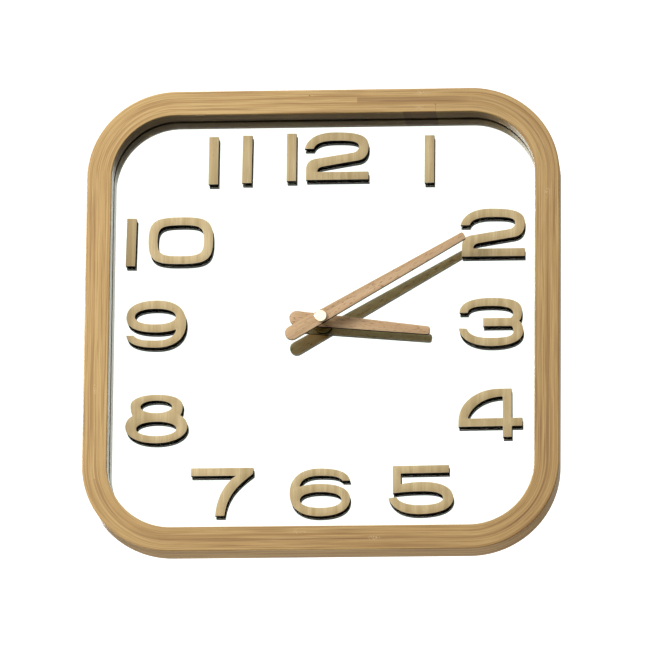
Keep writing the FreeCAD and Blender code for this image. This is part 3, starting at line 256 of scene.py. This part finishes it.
class Bamboo(Shader):
    """Laminated bamboo. The mesh's lap attribute holds the cosine and sine of the way round the ring, and
    the inset from its outer rim.
    """

    def __init__(self, name):
        super().__init__(name)
        lap = self.add("Attribute", attribute_name="lap").outputs["Vector"]
        self.turn_x, self.turn_y, self.inset = self.split(lap)
        self.x, y, self.z = self.split(self.add("TexCoord").outputs["Object"])
        self.behind_face = self.plus(y, FRAME_FRONT)
        self.ripple = self.node_ripples()
        wander = self.minus(self.patches(0, 2.6, 2.0), 0.5)
        knots = self.minus(self.noise(self.coords(), 900, 2.0), 0.5)
        across = self.plus(self.inset, self.times(wander, GRAIN_WANDER))
        self.across = self.plus(across, self.times(knots, self.ripple, NODE_SHIFT))

    def node_ripples(self):
        """1 at the middle of each culm node, down to 0 at the edge of an oval along the rail."""
        ripple = 0.0
        for node_x, node_z in BAMBOO_NODES:
            dx, dz = self.minus(self.x, node_x), self.minus(self.z, node_z)
            along, over = (dx, dz) if abs(node_z) > abs(node_x) else (dz, dx)
            reach = self.plus(self.square(self.math("DIVIDE", along, NODE_HALF_LENGTH)),
                              self.square(self.math("DIVIDE", over, NODE_HALF_WIDTH)))
            ripple = self.plus(ripple, self.minus(1.0, reach, clamp=True))
        return ripple

    def patches(self, fineness, scale, detail):
        """Slow noise round the ring; fineness is how fast it also changes with inset."""
        vector = self.join(self.turn_x, self.turn_y, self.times(self.inset, fineness))
        return self.noise(vector, scale, detail)

    def streaks(self, length, fineness, depth, detail=2.0, rough=0.55):
        """Noise drawn out round the ring; fineness and depth are cells per metre of inset and of depth."""
        vector = self.join(self.times(self.turn_x, length), self.times(self.turn_y, length),
                           self.times(self.across, fineness))
        return self.noise(vector, 1.0, detail, rough, w=self.times(self.behind_face, depth))

    def grain(self, bands, fibres):
        colour = self.ramp(self.streaks(1.0, 330, 120, 1.0), BAMBOO_BROAD)
        colour = self.over(colour, BAMBOO_DARK, self.fall(bands, 0.36, 0.47), 0.8)
        colour = self.over(colour, BAMBOO_PALE, self.rise(bands, 0.54, 0.66), 0.6)
        threads = self.streaks(3.2, 1500, 800, 2.0, 0.6)
        colour = self.over(colour, BAMBOO_THREAD, self.fall(threads, 0.38, 0.48), 0.65)
        colour = self.mix(self.lerp(fibres, -0.5, 1.5), colour, self.tinted(colour, FIBRE_TINT))
        colour = self.over(colour, BAMBOO_CLOUD, self.patches(40, 3.0, 3.0), 0.3)
        # darker and browner towards the lower right: partly the bamboo's own browner tone, partly painted
        # shade where the light from the upper left falls off
        low_right = self.add("MapRange", {"Value": self.minus(self.x, self.z), 1: -0.2, 2: 0.3}).outputs[0]
        return self.mix(low_right, colour, self.tinted(colour, LOW_RIGHT_TONE_AND_SHADE))

    def glue_lines(self, colour):
        """Thin dark lines where the plies meet, stronger in some stretches."""
        lines = 0.0
        for joint in PLY_JOINTS:
            gap = self.math("ABSOLUTE", self.minus(self.across, joint))
            line = self.minus(1.0, self.math("DIVIDE", gap, PLY_JOINT_REACH), clamp=True)
            lines = self.plus(lines, line)
        shown = self.ramp(self.patches(160, 2.2, 1.0), [(0.38, grey(0.1)), (0.62, grey(0.85))])
        return self.over(colour, GLUE_LINE, self.times(lines, shown), 0.6)

    def brown_strip(self, colour):
        """A browner ply with a blunt end on the top rail, which thins out into lines further round."""
        top_right = self.times(self.above(self.x, STRIP_START), self.above(self.z, RAIL_INSIDE))
        full = self.times(top_right, self.step(self.x, STRIP_END, STRIP_FADE, 1.0, 0.0))
        further = self.math("MAXIMUM", self.above(self.x, RIGHT_OF_STRIP),
                            self.math("LESS_THAN", self.z, -RAIL_INSIDE))
        thin = self.lerp(self.patches(0, 2.1, 0.0), *STRIP_WIDTHS)
        width = self.plus(self.times(full, STRIP_EXTRA), thin)
        off_centre = self.math("ABSOLUTE", self.minus(self.inset, STRIP_INSET))
        past_edge = self.math("DIVIDE", self.minus(off_centre, width), STRIP_EDGE)
        in_strip = self.minus(1.0, past_edge, clamp=True)
        strength = self.times(self.math("MAXIMUM", full, self.times(further, 0.75)),
                              self.lerp(self.streaks(6, 2600, 30), 0.35, 1.25))
        shown = self.math("MULTIPLY", in_strip, strength, clamp=True)
        return self.mix(shown, colour, self.tinted(colour, STRIP_TINT))

    def butt_joint(self, colour):
        """Butt joint of the inner plies on the top rail, with a stain on its left and pinholes near it."""
        upper = self.above(self.z, 0.0)
        gap = self.times(self.band(self.x, BUTT_JOINT, BUTT_JOINT + BUTT_JOINT_WIDTH, 0.15 * MM), upper,
                         self.above(self.inset, BUTT_JOINT_INSET))
        colour = self.over(colour, BUTT_GAP, gap, 0.6)
        stained = self.times(self.band(self.x, BUTT_JOINT - STAIN_LENGTH, BUTT_JOINT, 0.2 * MM), upper,
                             self.above(self.inset, STAIN_INSET))
        colour = self.over(colour, BUTT_STAIN, stained, 0.45)
        for hole_x, hole_z in PINHOLES:
            away = self.plus(self.square(self.minus(self.x, hole_x)),
                             self.square(self.minus(self.z, hole_z)))
            hole = self.math("LESS_THAN", away, PINHOLE_RADIUS ** 2)
            colour = self.over(colour, PINHOLE_DARK, hole, 0.8)
        return colour

    def node_flakes(self, colour):
        """Crossing ripples where a culm node comes to the surface."""
        flakes = self.noise(self.coords(), 1500, 2.0, 0.5, 1.5)
        light = self.math("MULTIPLY", self.rise(flakes, 0.54, 0.62), self.ripple, clamp=True)
        dark = self.math("MULTIPLY", self.fall(flakes, 0.38, 0.46), self.ripple, clamp=True)
        colour = self.over(colour, FLAKE_PALE, light, 0.7)
        return self.over(colour, FLAKE_DARK, dark, 0.6)


def bamboo(name):
    s = Bamboo(name)
    bands = s.streaks(2.4, 900, 380, 3.0, 0.6)
    fibres = s.streaks(10, 3600, 2600, 3.0, 0.7)
    colour = s.grain(bands, fibres)
    for detail in (s.glue_lines, s.brown_strip, s.butt_joint, s.node_flakes):
        colour = detail(colour)
    normal = s.bump(fibres, 0.015 * MM, 0.35, s.bump(bands, 0.05 * MM, 0.2))
    return s.finish(Base_Color=colour, Roughness=s.lerp(bands, 0.48, 0.6), Normal=normal,
                    Specular_IOR_Level=0.2, Coat_Weight=0.6, Coat_Roughness=0.14)


# ---- veneer and board -----------------------------------------------------------------------

PLY_EDGE = srgb(236, 220, 184)
# back: painted shade on the numerals' faces towards the mirror, seen only in the mirror
NUMERAL_WOOD = dict(pale=srgb(204, 184, 142), dark=srgb(172, 149, 104), fleck=srgb(140, 104, 60),
                    burnt=(srgb(16, 12, 9), srgb(36, 27, 19)), back=srgb(84, 86, 82), flecks=0.25)
# back: a faint painted green cast on the hands' faces towards the mirror, standing in for the tint of their
# reflection
HAND_WOOD = dict(pale=srgb(206, 176, 138), dark=srgb(180, 146, 107), fleck=srgb(124, 80, 48),
                 burnt=(srgb(26, 18, 12), srgb(58, 40, 27)), back=srgb(250, 255, 240), flecks=0.75)


def veneer(name, pale, dark, fleck, burnt, back, flecks, turn=0.0):
    """Veneered ply: a wood face with pale edges, and sides burnt by the laser.

    The grain runs along Z, turned about Y by turn. back tints the face towards the mirror, which is seen
    only in its reflection: painted shade on the numerals, and a faint painted green cast of the reflection
    on the hands.
    """
    s = Shader(name)
    gx, gy, gz = s.split(s.coords(turn=(0, turn, 0)))

    def grain(across, along, detail=2.0, rough=0.6, distort=0.0):
        vector = s.join(s.times(gx, across), s.times(gy, 300), s.times(gz, along))
        return s.noise(vector, 1.0, detail, rough, distort)

    fine = grain(1500, 40, 3.0, 0.7)
    wide = grain(240, 9, 2.0, 0.5, 0.3)
    dash = grain(1150, 230, 1.0)
    colour = s.mix(s.rise(wide, 0.3, 0.7), pale, dark)
    colour = s.over(colour, dark, s.fall(fine, 0.40, 0.58), 0.6)
    colour = s.over(colour, fleck, s.rise(dash, 0.62, 0.70), flecks)
    normal_y = s.split(s.add("NewGeometry").outputs["True Normal"])[1]
    facing = s.math("ABSOLUTE", normal_y)
    # painted shade (numerals) or a faint painted green cast (hands) on the face towards the mirror, seen
    # only in its reflection
    colour = s.mix(s.above(normal_y, 0.5), colour, s.tinted(colour, back))
    colour = s.over(colour, PLY_EDGE, s.fall(facing, 0.96, 0.98), 0.7)
    side = s.fall(facing, 0.48, 0.52)
    char = s.noise(s.coords((900, 250, 900)), 1.0, 3.0)
    colour = s.mix(side, colour, s.mix(char, *burnt))
    rough = s.plus(s.lerp(fine, 0.5, 0.68), s.times(side, 0.2))
    return s.finish(Base_Color=colour, Roughness=rough, Normal=s.bump(fine, 0.06 * MM, 0.35),
                    Specular_IOR_Level=0.3)


def fibreboard(name):
    s = Shader(name)
    speck = s.noise(s.coords(), 1900, 4.0, 0.7)
    fibre = s.noise(s.coords((1, 1, 0.35)), 700, 3.0, 0.6, 1.2)
    cloud = s.noise(s.coords(), 14, 3.0)
    colour = s.mix(speck, srgb(122, 92, 62), srgb(166, 134, 98))
    colour = s.over(colour, srgb(92, 66, 42), s.rise(fibre, 0.58, 0.68), 0.5)
    colour = s.over(colour, srgb(140, 106, 72), cloud, 0.3)
    return s.finish(Base_Color=colour, Roughness=s.lerp(speck, 0.72, 0.9),
                    Normal=s.bump(speck, 0.08 * MM, 0.3), Specular_IOR_Level=0.25)


# ---- glass and metals -----------------------------------------------------------------------

def clear_glass(name):
    s = Shader(name)
    return s.finish(Base_Color=(0.92, 0.975, 0.925, 1), Transmission_Weight=1.0, IOR=1.5, Roughness=0.0)


def silvering(name):
    s = Shader(name)
    haze = s.noise(s.coords(), 9, 2.0)
    colour = s.mix(haze, (0.955, 0.965, 0.955, 1), (0.965, 0.97, 0.962, 1))
    return s.finish(Base_Color=colour, Metallic=1.0, Roughness=0.0)


def metal(name, colour, worn, rough, turned=False, brushed=(1, 1, 1)):
    """Turned metal shows fine rings about the clock's axis; other metal shows brushing or grain."""
    s = Shader(name)
    if turned:
        x, y, z = s.split(s.coords())
        radius = s.math("SQRT", s.plus(s.times(x, x), s.times(z, z)))
        marks = s.noise(s.join(s.times(radius, 6000), s.times(y, 4000), 0.0), 1.0, 2.0)
    else:
        marks = s.noise(s.coords(brushed), 900, 3.0, 0.6)
    tarnish = s.noise(s.coords(), 160, 3.0)
    tone = s.mix(s.rise(tarnish, 0.4, 0.75), colour, worn)
    return s.finish(Base_Color=tone, Metallic=1.0, Roughness=s.lerp(marks, rough * 0.75, rough * 1.3),
                    Normal=s.bump(marks, 0.02 * MM, 0.25))


# ---- plastics and small parts -----------------------------------------------------------------

WIRE_PITCH = 0.16 * MM
CELL_CAP_LENGTH = 1.4 * MM
CELL_CAP = srgb(196, 196, 192)
BARE_STEEL = srgb(176, 178, 176)
SLEEVE_GREEN = srgb(40, 74, 66)
SLEEVE_PALE = srgb(188, 182, 160)


def plastic(name, colour, shade, rough, grain=0.05 * MM, see_through=0.0):
    """Moulded plastic with a fine spark-eroded texture and slight flow marks."""
    s = Shader(name)
    texture = s.noise(s.coords(), 2600, 2.0)
    flow = s.noise(s.coords(), 60, 3.0, 0.5, 0.6)
    tone = s.mix(s.rise(flow, 0.3, 0.7), colour, shade)
    return s.finish(Base_Color=tone, Roughness=s.lerp(flow, rough * 0.9, rough * 1.1),
                    Normal=s.bump(texture, grain, 0.3), Subsurface_Weight=see_through,
                    Subsurface_Scale=0.5 * MM)


def wound_wire(name):
    s = Shader(name)
    x, y, z = s.split(s.coords())
    turns = s.math("SINE", s.times(x, 2 * math.pi / WIRE_PITCH))
    layers = s.noise(s.join(s.times(x, 2500), s.times(y, 200), s.times(z, 200)), 1.0, 2.0)
    tone = s.mix(layers, srgb(176, 92, 44), srgb(118, 52, 24))
    return s.finish(Base_Color=tone, Metallic=0.7, Roughness=0.32, Normal=s.bump(turns, 0.05 * MM, 0.6))


def solder_mask(name):
    s = Shader(name)
    x, _, z = s.split(s.coords())
    grid = s.math("MAXIMUM", s.math("SINE", s.times(x, 2200)), s.math("SINE", s.times(z, 1700)))
    traces = s.rise(grid, 0.90, 0.94)
    mottle = s.noise(s.coords(), 700, 2.0)
    tone = s.over(srgb(18, 84, 44), srgb(44, 128, 66), traces, 0.6)
    tone = s.over(tone, srgb(10, 60, 30), mottle, 0.2)
    return s.finish(Base_Color=tone, Roughness=s.lerp(mottle, 0.28, 0.4),
                    Normal=s.bump(traces, 0.05 * MM, 0.4))


def cell_jacket(name):
    """Plain shrink sleeve in two colours, with a bare steel cap and button at the positive end."""
    s = Shader(name)
    low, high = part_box("aa_battery")
    x = s.split(s.coords())[0]
    sleeve = s.ramp(s.math("DIVIDE", s.minus(x, low.x), high.x - low.x),
                    [(0.0, BARE_STEEL), (0.012, SLEEVE_GREEN), (0.66, SLEEVE_GREEN), (0.67, SLEEVE_PALE)])
    steel = s.above(x, high.x - CELL_CAP_LENGTH)
    scuff = s.noise(s.coords((0.3, 1, 1)), 500, 3.0)
    tone = s.mix(steel, sleeve, CELL_CAP)
    return s.finish(Base_Color=tone, Metallic=steel, Roughness=s.lerp(scuff, 0.2, 0.36),
                    Normal=s.bump(scuff, 0.02 * MM, 0.3), Coat_Weight=0.3)


def foam(name):
    s = Shader(name)
    cells = s.add("TexVoronoi", {"Vector": s.coords(), "Scale": 1500}).outputs["Distance"]
    tone = s.mix(cells, srgb(214, 212, 202), srgb(176, 174, 164))
    return s.finish(Base_Color=tone, Roughness=0.95, Normal=s.bump(cells, 0.2 * MM, 0.5))


def rubber(name):
    s = Shader(name)
    bloom = s.noise(s.coords(), 380, 3.0)
    tone = s.mix(bloom, srgb(24, 24, 24), srgb(46, 45, 43))
    return s.finish(Base_Color=tone, Roughness=s.lerp(bloom, 0.6, 0.85),
                    Normal=s.bump(bloom, 0.05 * MM, 0.3))


# ---- mesh helpers ---------------------------------------------------------------------------

STEPS_PER_CORNER = 28
STEPS_PER_SIDE = 14
STEPS_PER_ROUNDING = 5
STEPS_PER_TURN = 96
ROUNDING_GUARD = 0.12 * MM
WELD = 0.001 * MM

# degrees: faces flatter than this are merged, edges sharper than this are rounded, and shading is smooth
# across edges that are blunter than the last two
MERGE_ANGLE = 0.4
ROUND_ANGLE = 30
SMOOTH_ANGLE = 32
ROUNDED_SMOOTH_ANGLE = 40


def add_piece(name, mesh, body, materials, replaces):
    """A finished piece that rides on a body and stands in for the CAD nodes it replaces."""
    piece = bpy.data.objects.new(name, mesh)
    bpy.context.scene.collection.objects.link(piece)
    for material in materials:
        mesh.materials.append(material)
    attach(piece, body)
    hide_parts(*replaces)


def smooth(mesh, degrees=SMOOTH_ANGLE):
    for polygon in mesh.polygons:
        polygon.use_smooth = True
    mesh.set_sharp_from_angle(angle=math.radians(degrees))


def ring_stations(half, radius):
    """Skeleton point, outward normal and share of the way round, clockwise from the middle of the top."""
    straight = 2 * (half - radius)
    arc = math.pi / 2 * radius
    total = 4 * (straight + arc)
    stations, travelled = [], 0.0
    for side in range(4):
        turn = Matrix.Rotation(-math.pi / 2 * side, 2)
        for k in range(STEPS_PER_SIDE):
            share = k / STEPS_PER_SIDE
            point = turn @ Vector((-straight / 2 + share * straight, half - radius))
            stations.append((point, turn @ Vector((0, 1)), (travelled + share * straight) / total))
        travelled += straight
        for k in range(STEPS_PER_CORNER):
            angle = math.pi / 2 * k / STEPS_PER_CORNER
            normal = turn @ Vector((math.sin(angle), math.cos(angle)))
            point = turn @ Vector((straight / 2, half - radius))
            stations.append((point, normal, (travelled + arc * k / STEPS_PER_CORNER) / total))
        travelled += arc
    return stations


def rounded_profile(corners):
    """Closed (inset, depth) outline. Each corner is rounded by its radius, with a guard point each side."""
    points = []
    count = len(corners)
    for k, (x, y, radius) in enumerate(corners):
        here = Vector((x, y))
        before = (Vector(corners[k - 1][:2]) - here).normalized()
        after = (Vector(corners[(k + 1) % count][:2]) - here).normalized()
        if radius == 0:
            points.append(here)
            continue
        centre = here + (before + after) * radius
        start, end = here + before * radius, here + after * radius
        points.append(start + before * ROUNDING_GUARD)
        for j in range(STEPS_PER_ROUNDING + 1):
            angle = math.pi / 2 * j / STEPS_PER_ROUNDING
            points.append(centre - after * radius * math.cos(angle) - before * radius * math.sin(angle))
        points.append(end + after * ROUNDING_GUARD)
    return points


def outward(mesh):
    bm = bmesh.new()
    bm.from_mesh(mesh)
    bmesh.ops.recalc_face_normals(bm, faces=bm.faces)
    bm.to_mesh(mesh)
    bm.free()


def swept_ring(name, half, radius, profile):
    """An (inset, depth) outline carried round a square of that half side and corner radius."""
    stations = ring_stations(half, radius)
    verts, laps = [], []
    for point, normal, share in stations:
        angle = 2 * math.pi * share
        for inset, depth in profile:
            place = point + normal * (radius - inset)
            verts.append((place.x, -depth, place.y))
            laps.append((math.cos(angle), math.sin(angle), inset))
    size = len(profile)
    faces = []
    for i in range(len(stations)):
        this, after = i * size, (i + 1) % len(stations) * size
        faces += [(this + j, this + (j + 1) % size, after + (j + 1) % size, after + j) for j in range(size)]
    mesh = bpy.data.meshes.new(name)
    mesh.from_pydata(verts, [], faces)
    attribute = mesh.attributes.new("lap", "FLOAT_VECTOR", "POINT")
    attribute.data.foreach_set("vector", [c for lap in laps for c in lap])
    outward(mesh)
    smooth(mesh)
    return mesh


def refined(node, width, segments=2, lift=0.0):
    """A copy of a CAD node's mesh with its flat faces whole again and its sharp edges rounded by width.

    lift moves its back face forward, so that it doesn't share a plane with what it is fixed to.
    """
    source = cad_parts[node].data
    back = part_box(node)[1].y
    bm = bmesh.new()
    made = [bm.verts.new((v.co.x, v.co.y - lift * (v.co.y > back - WELD), v.co.z))
            for v in source.vertices]
    for polygon in source.polygons:
        bm.faces.new([made[i] for i in polygon.vertices])
    bmesh.ops.remove_doubles(bm, verts=bm.verts, dist=WELD)
    bmesh.ops.dissolve_limit(bm, angle_limit=math.radians(MERGE_ANGLE), verts=bm.verts, edges=bm.edges)
    sharp = [e for e in bm.edges
             if len(e.link_faces) == 2 and e.calc_face_angle() > math.radians(ROUND_ANGLE)]
    bmesh.ops.bevel(bm, geom=sharp, offset=width, offset_type="OFFSET", segments=segments,
                    profile=0.5, affect="EDGES", clamp_overlap=True)
    bmesh.ops.triangulate(bm, faces=[f for f in bm.faces if len(f.verts) > 4])
    mesh = bpy.data.meshes.new(node + "_finished")
    bm.to_mesh(mesh)
    bm.free()
    smooth(mesh, ROUNDED_SMOOTH_ANGLE)
    return mesh


def turned_piece(name, profile):
    """A (radius, depth) outline turned about the clock's axis; radius 0 closes an end."""
    bm = bmesh.new()
    rows = []
    for radius, depth in profile:
        if radius == 0:
            rows.append([bm.verts.new((0, -depth, 0))])
            continue
        angles = [2 * math.pi * k / STEPS_PER_TURN for k in range(STEPS_PER_TURN)]
        rows.append([bm.verts.new((radius * math.cos(a), -depth, radius * math.sin(a))) for a in angles])
    for low, high in zip(rows, rows[1:]):
        for k in range(STEPS_PER_TURN):
            n = (k + 1) % STEPS_PER_TURN
            ring = [low[k % len(low)], low[n % len(low)], high[n % len(high)], high[k % len(high)]]
            bm.faces.new(list(dict.fromkeys(ring)))
    bmesh.ops.recalc_face_normals(bm, faces=bm.faces)
    mesh = bpy.data.meshes.new(name)
    bm.to_mesh(mesh)
    bm.free()
    smooth(mesh)
    return mesh


# ---- the visible pieces ---------------------------------------------------------------------

FRONT_ROUND = 0.8 * MM
BACK_ROUND = 0.5 * MM
LIP_ROUND = 0.3 * MM
GLASS_EDGE = 0.4 * MM
CUT_EDGE = 0.25 * MM
PLATE_EDGE = 0.15 * MM
CASE_EDGE = 0.25 * MM
COVER_EDGE = 0.2 * MM
CASE_GRAIN = 0.08 * MM
CAP_EDGE = 0.35 * MM
CAP_BURR = 0.1 * MM
CAP_STEPS = 6

# the bodies that carry a hand, and how far each hand points clockwise of 12 at rest
HAND_ANGLES = (("minute", 60.0), ("hour", 96.2))


def make_frame():
    rebate = HALF_SIDE - REBATE_HALF
    profile = rounded_profile([
        (0, FRAME_BACK, BACK_ROUND), (0, FRAME_FRONT, FRONT_ROUND),
        (RAIL_WIDTH, FRAME_FRONT, FRONT_ROUND), (RAIL_WIDTH, GLASS_FRONT, LIP_ROUND),
        (rebate, GLASS_FRONT, 0), (rebate, FRAME_BACK, LIP_ROUND)])
    mesh = swept_ring("frame_ring", HALF_SIDE, OUTER_CORNER, profile)
    add_piece("bamboo_ring", mesh, "root", [bamboo("laminated_bamboo")], ["bamboo_frame"])


def make_mirror():
    """The pane's back face is silvered, and the rest of it is clear glass."""
    mesh = refined("mirror_glass", GLASS_EDGE, 1, lift=AIR_GAP)
    layers = [clear_glass("mirror_float_glass"), silvering("mirror_silvering")]
    add_piece("mirror_pane", mesh, "root", layers, ["mirror_glass"])
    back = glass_high.y - AIR_GAP
    for polygon in mesh.polygons:
        at_back = all(abs(mesh.vertices[v].co.y - back) < 0.01 * MM for v in polygon.vertices)
        polygon.material_index = 1 if at_back else 0


def make_numerals():
    wood = veneer("numeral_veneer", **NUMERAL_WOOD)
    for hour in range(1, 13):
        node = "numeral_%d" % hour
        mesh = refined(node, CUT_EDGE, lift=AIR_GAP)
        add_piece("dial_%d" % hour, mesh, "root", [wood], [node])


def make_hands():
    for body, degrees in HAND_ANGLES:
        hand = body + "_hand"
        wood = veneer(hand + "_veneer", turn=-math.radians(degrees), **HAND_WOOD)
        add_piece(hand + "_wood", refined(hand, CUT_EDGE), body, [wood], [hand])


def make_cap():
    low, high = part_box("hand_cap")
    radius, back, front = high.x, -high.y, -low.y
    angles = [math.pi / 2 * k / CAP_STEPS for k in range(CAP_STEPS + 1)]
    profile = [(0, back), (radius - CAP_BURR, back), (radius, back + CAP_BURR)]
    profile += [(radius - CAP_EDGE + CAP_EDGE * math.cos(a), front - CAP_EDGE + CAP_EDGE * math.sin(a))
                for a in angles]
    profile += [(radius * 0.5, front), (0, front)]
    brass = metal("cap_brass", srgb(252, 243, 216), srgb(246, 234, 200), 0.12, turned=True)
    mesh = turned_piece("cap_turned", profile)
    add_piece("cap_disc", mesh, "minute", [brass], ["hand_cap"])


def make_back():
    board = fibreboard("back_fibreboard")
    add_piece("board_panel", refined("back_board", CUT_EDGE, 1), "root", [board], ["back_board"])
    zinc = metal("bright_zinc", srgb(196, 200, 200), srgb(168, 172, 174), 0.32, brushed=(1, 1, 0.2))
    add_piece("retainers", refined("retaining_plates", PLATE_EDGE), "root", [zinc],
              ["retaining_plates"])
    paint(["plate_screws"], metal("screw_zinc", srgb(205, 206, 204), srgb(176, 178, 178), 0.28))
    paint(["mounting_tape"], foam("tape_foam"))


def paint(nodes, material):
    for node in nodes:
        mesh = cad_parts[node].data
        mesh.materials.clear()
        mesh.materials.append(material)


def make_movement():
    """The case and cover get rounded edges; everything inside keeps its CAD mesh and gets a material."""
    black = plastic("case_black", srgb(34, 34, 35), srgb(44, 44, 45), 0.5, CASE_GRAIN)
    add_piece("case_shell", refined("movement_case", CASE_EDGE), "root", [black],
              ["movement_case"])
    cover = plastic("cover_black", srgb(38, 38, 39), srgb(46, 46, 47), 0.46, CASE_GRAIN)
    add_piece("cover_shell", refined("movement_cover", COVER_EDGE), "root", [cover],
              ["movement_cover"])
    paint_train()
    paint_motor()
    paint_electrics()


def paint_train():
    paint(["hour_hand_bush", "minute_hand_bush", "neck_washer", "hex_nut", "threaded_bushing",
           "cannon_pinion"],
          metal("turned_brass", srgb(190, 172, 106), srgb(160, 142, 82), 0.34, turned=True))
    paint(["rubber_gasket"], rubber("gasket_rubber"))
    paint(["set_knob", "motion_wheel", "intermediate_wheel", "third_wheel"],
          plastic("acetal_white", srgb(192, 190, 182), srgb(180, 177, 168), 0.38, see_through=0.15))
    paint(["train_plate", "seconds_wheel", "centre_wheel", "rotor_pinion"],
          plastic("nylon_natural", srgb(220, 214, 196), srgb(208, 200, 178), 0.42, see_through=0.15))
    paint(["hour_wheel"], plastic("acetal_black", srgb(36, 36, 38), srgb(48, 48, 50), 0.34))
    paint(["seconds_arbor", "stator_screws"],
          metal("ground_steel", srgb(190, 190, 188), srgb(168, 168, 166), 0.24))


def paint_motor():
    paint(["coil_bobbin"], plastic("bobbin_nylon", srgb(214, 206, 178), srgb(198, 188, 158), 0.45))
    paint(["rotor_magnet"], metal("sintered_magnet", srgb(92, 92, 96), srgb(70, 70, 74), 0.5))
    paint(["stator", "coil_core"],
          metal("soft_iron", srgb(158, 158, 154), srgb(132, 130, 126), 0.4, brushed=(0.15, 1, 1)))
    paint(["coil_winding", "coil_leads"], wound_wire("enamelled_copper"))


def paint_electrics():
    paint(["circuit_board"], solder_mask("green_board"))
    paint(["chip_blob"], plastic("potting_resin", srgb(18, 18, 19), srgb(26, 26, 27), 0.22))
    paint(["quartz_crystal"], metal("tinned_can", srgb(206, 206, 202), srgb(186, 186, 182), 0.2))
    paint(["battery_positive_contact", "battery_negative_contact"],
          metal("nickel_strip", srgb(202, 196, 182), srgb(180, 174, 160), 0.26, brushed=(1, 1, 0.15)))
    paint(["aa_battery"], cell_jacket("cell_sleeve"))


# ---- stage, light and camera ------------------------------------------------------------------

FLOOR_LEVEL = -6.0
FLOOR_SIZE = 60.0

# brightness of the world by height, from straight down at 0 through the horizon at 0.5 to straight up at 1
FRONT_SKY = [(0.0, grey(0.05)), (0.3, grey(0.07)), (0.44, grey(0.10)), (0.53, grey(0.16)), (0.6, grey(1.0))]
BACK_SKY = [(0.0, grey(2.0)), (0.25, grey(1.3)), (0.34, grey(0.05)), (0.5, grey(0.1)), (0.62, grey(0.25)),
            (0.75, grey(1.0))]
SKY_STRENGTH = 1.35
SKY_SLANT = 0.45
BEHIND_FADE = 0.3

# name, place, size and power of each lamp; all of them aim at the origin
LAMPS = (("key_left", (-1.1, -1.0, 0.45), 0.6, 19.0),
         ("fill_behind", (-0.4, 1.6, 0.7), 1.2, 16.0))


def make_floor():
    """A pale floor far below the clock. It is only seen directly, so it doesn't light or shade the clock."""
    bpy.ops.mesh.primitive_plane_add(size=FLOOR_SIZE, location=(0, 0, FLOOR_LEVEL))
    floor = bpy.context.object
    floor.name = "studio_floor"
    s = Shader("pale_floor")
    mottle = s.noise(s.coords(), 3, 2.0)
    floor.data.materials.append(s.finish(Base_Color=s.mix(mottle, grey(0.7), grey(0.74)), Roughness=0.8))
    floor.visible_diffuse = False
    floor.visible_glossy = False
    floor.visible_transmission = False
    floor.visible_shadow = False


def make_world():
    """Plain white when seen directly or in the dial's mirror, and uneven as a source of light.

    In front it is bright above an edge that slants up to the right. Behind it is bright overhead and
    straight down, and dim between.
    """
    world = bpy.data.worlds.new("studio")
    bpy.context.scene.world = world
    world.use_nodes = True
    n = Nodes(world.node_tree)
    x, y, z = n.split(n.add("TexCoord").outputs["Generated"])

    def sky(height, stops):
        return n.ramp(n.add("MapRange", {0: height, 1: -1.0}).outputs[0], stops)

    front = sky(n.minus(z, n.times(x, SKY_SLANT)), FRONT_SKY)
    behind = n.add("MapRange", {0: y, 2: BEHIND_FADE}).outputs[0]
    light = n.mix(behind, front, sky(z, BACK_SKY))
    path = n.add("LightPath").outputs
    bounces = n.plus(path["Glossy Depth"], n.times(path["Diffuse Depth"], 2.0))
    in_mirror = n.times(path["Is Transmission Ray"], n.math("LESS_THAN", bounces, 1.5))
    seen = n.math("MAXIMUM", path["Is Camera Ray"], in_mirror)
    background = n.tree.nodes["Background"]
    n.put(background.inputs["Color"], n.mix(seen, light, grey(1.0)))
    n.put(background.inputs["Strength"], SKY_STRENGTH)


def make_lights():
    for name, place, size, power in LAMPS:
        data = bpy.data.lights.new(name, "AREA")
        data.size = size
        data.energy = power
        light = bpy.data.objects.new(name, data)
        bpy.context.scene.collection.objects.link(light)
        light.location = place
        light.rotation_euler = (-Vector(place)).to_track_quat("-Z", "Y").to_euler()


VIEW_AZIMUTH, VIEW_ELEVATION, VIEW_ROLL = 4.7, -14.95, 0.56
VIEW_DISTANCE = 5.874
VIEW_TARGET = Vector((2.8 * MM, -FRAME_FRONT, -5.4 * MM))
VIEW_LENS = 443.1


def make_camera():
    """Long lens from below and a little to the right, aimed near the dial's centre."""
    azimuth, elevation = math.radians(VIEW_AZIMUTH), math.radians(VIEW_ELEVATION)
    back = Vector((math.sin(azimuth) * math.cos(elevation), -math.cos(azimuth) * math.cos(elevation),
                   math.sin(elevation)))
    right = (-back).cross(Vector((0, 0, 1))).normalized()
    right = Matrix.Rotation(math.radians(VIEW_ROLL), 3, back) @ right
    up = back.cross(right)
    data = bpy.data.cameras.new("photo_view")
    data.lens = VIEW_LENS
    data.sensor_width = 36
    data.clip_end = 50
    camera = bpy.data.objects.new("photo_view", data)
    bpy.context.scene.collection.objects.link(camera)
    matrix = Matrix((right, up, back)).transposed().to_4x4()
    matrix.translation = VIEW_TARGET + back * VIEW_DISTANCE
    camera.matrix_world = matrix
    bpy.context.scene.camera = camera


make_camera()
make_world()
make_lights()
make_floor()
bpy.context.scene.view_settings.view_transform = "Standard"
make_frame()
make_mirror()
make_numerals()
make_hands()
make_cap()
make_back()
make_movement()
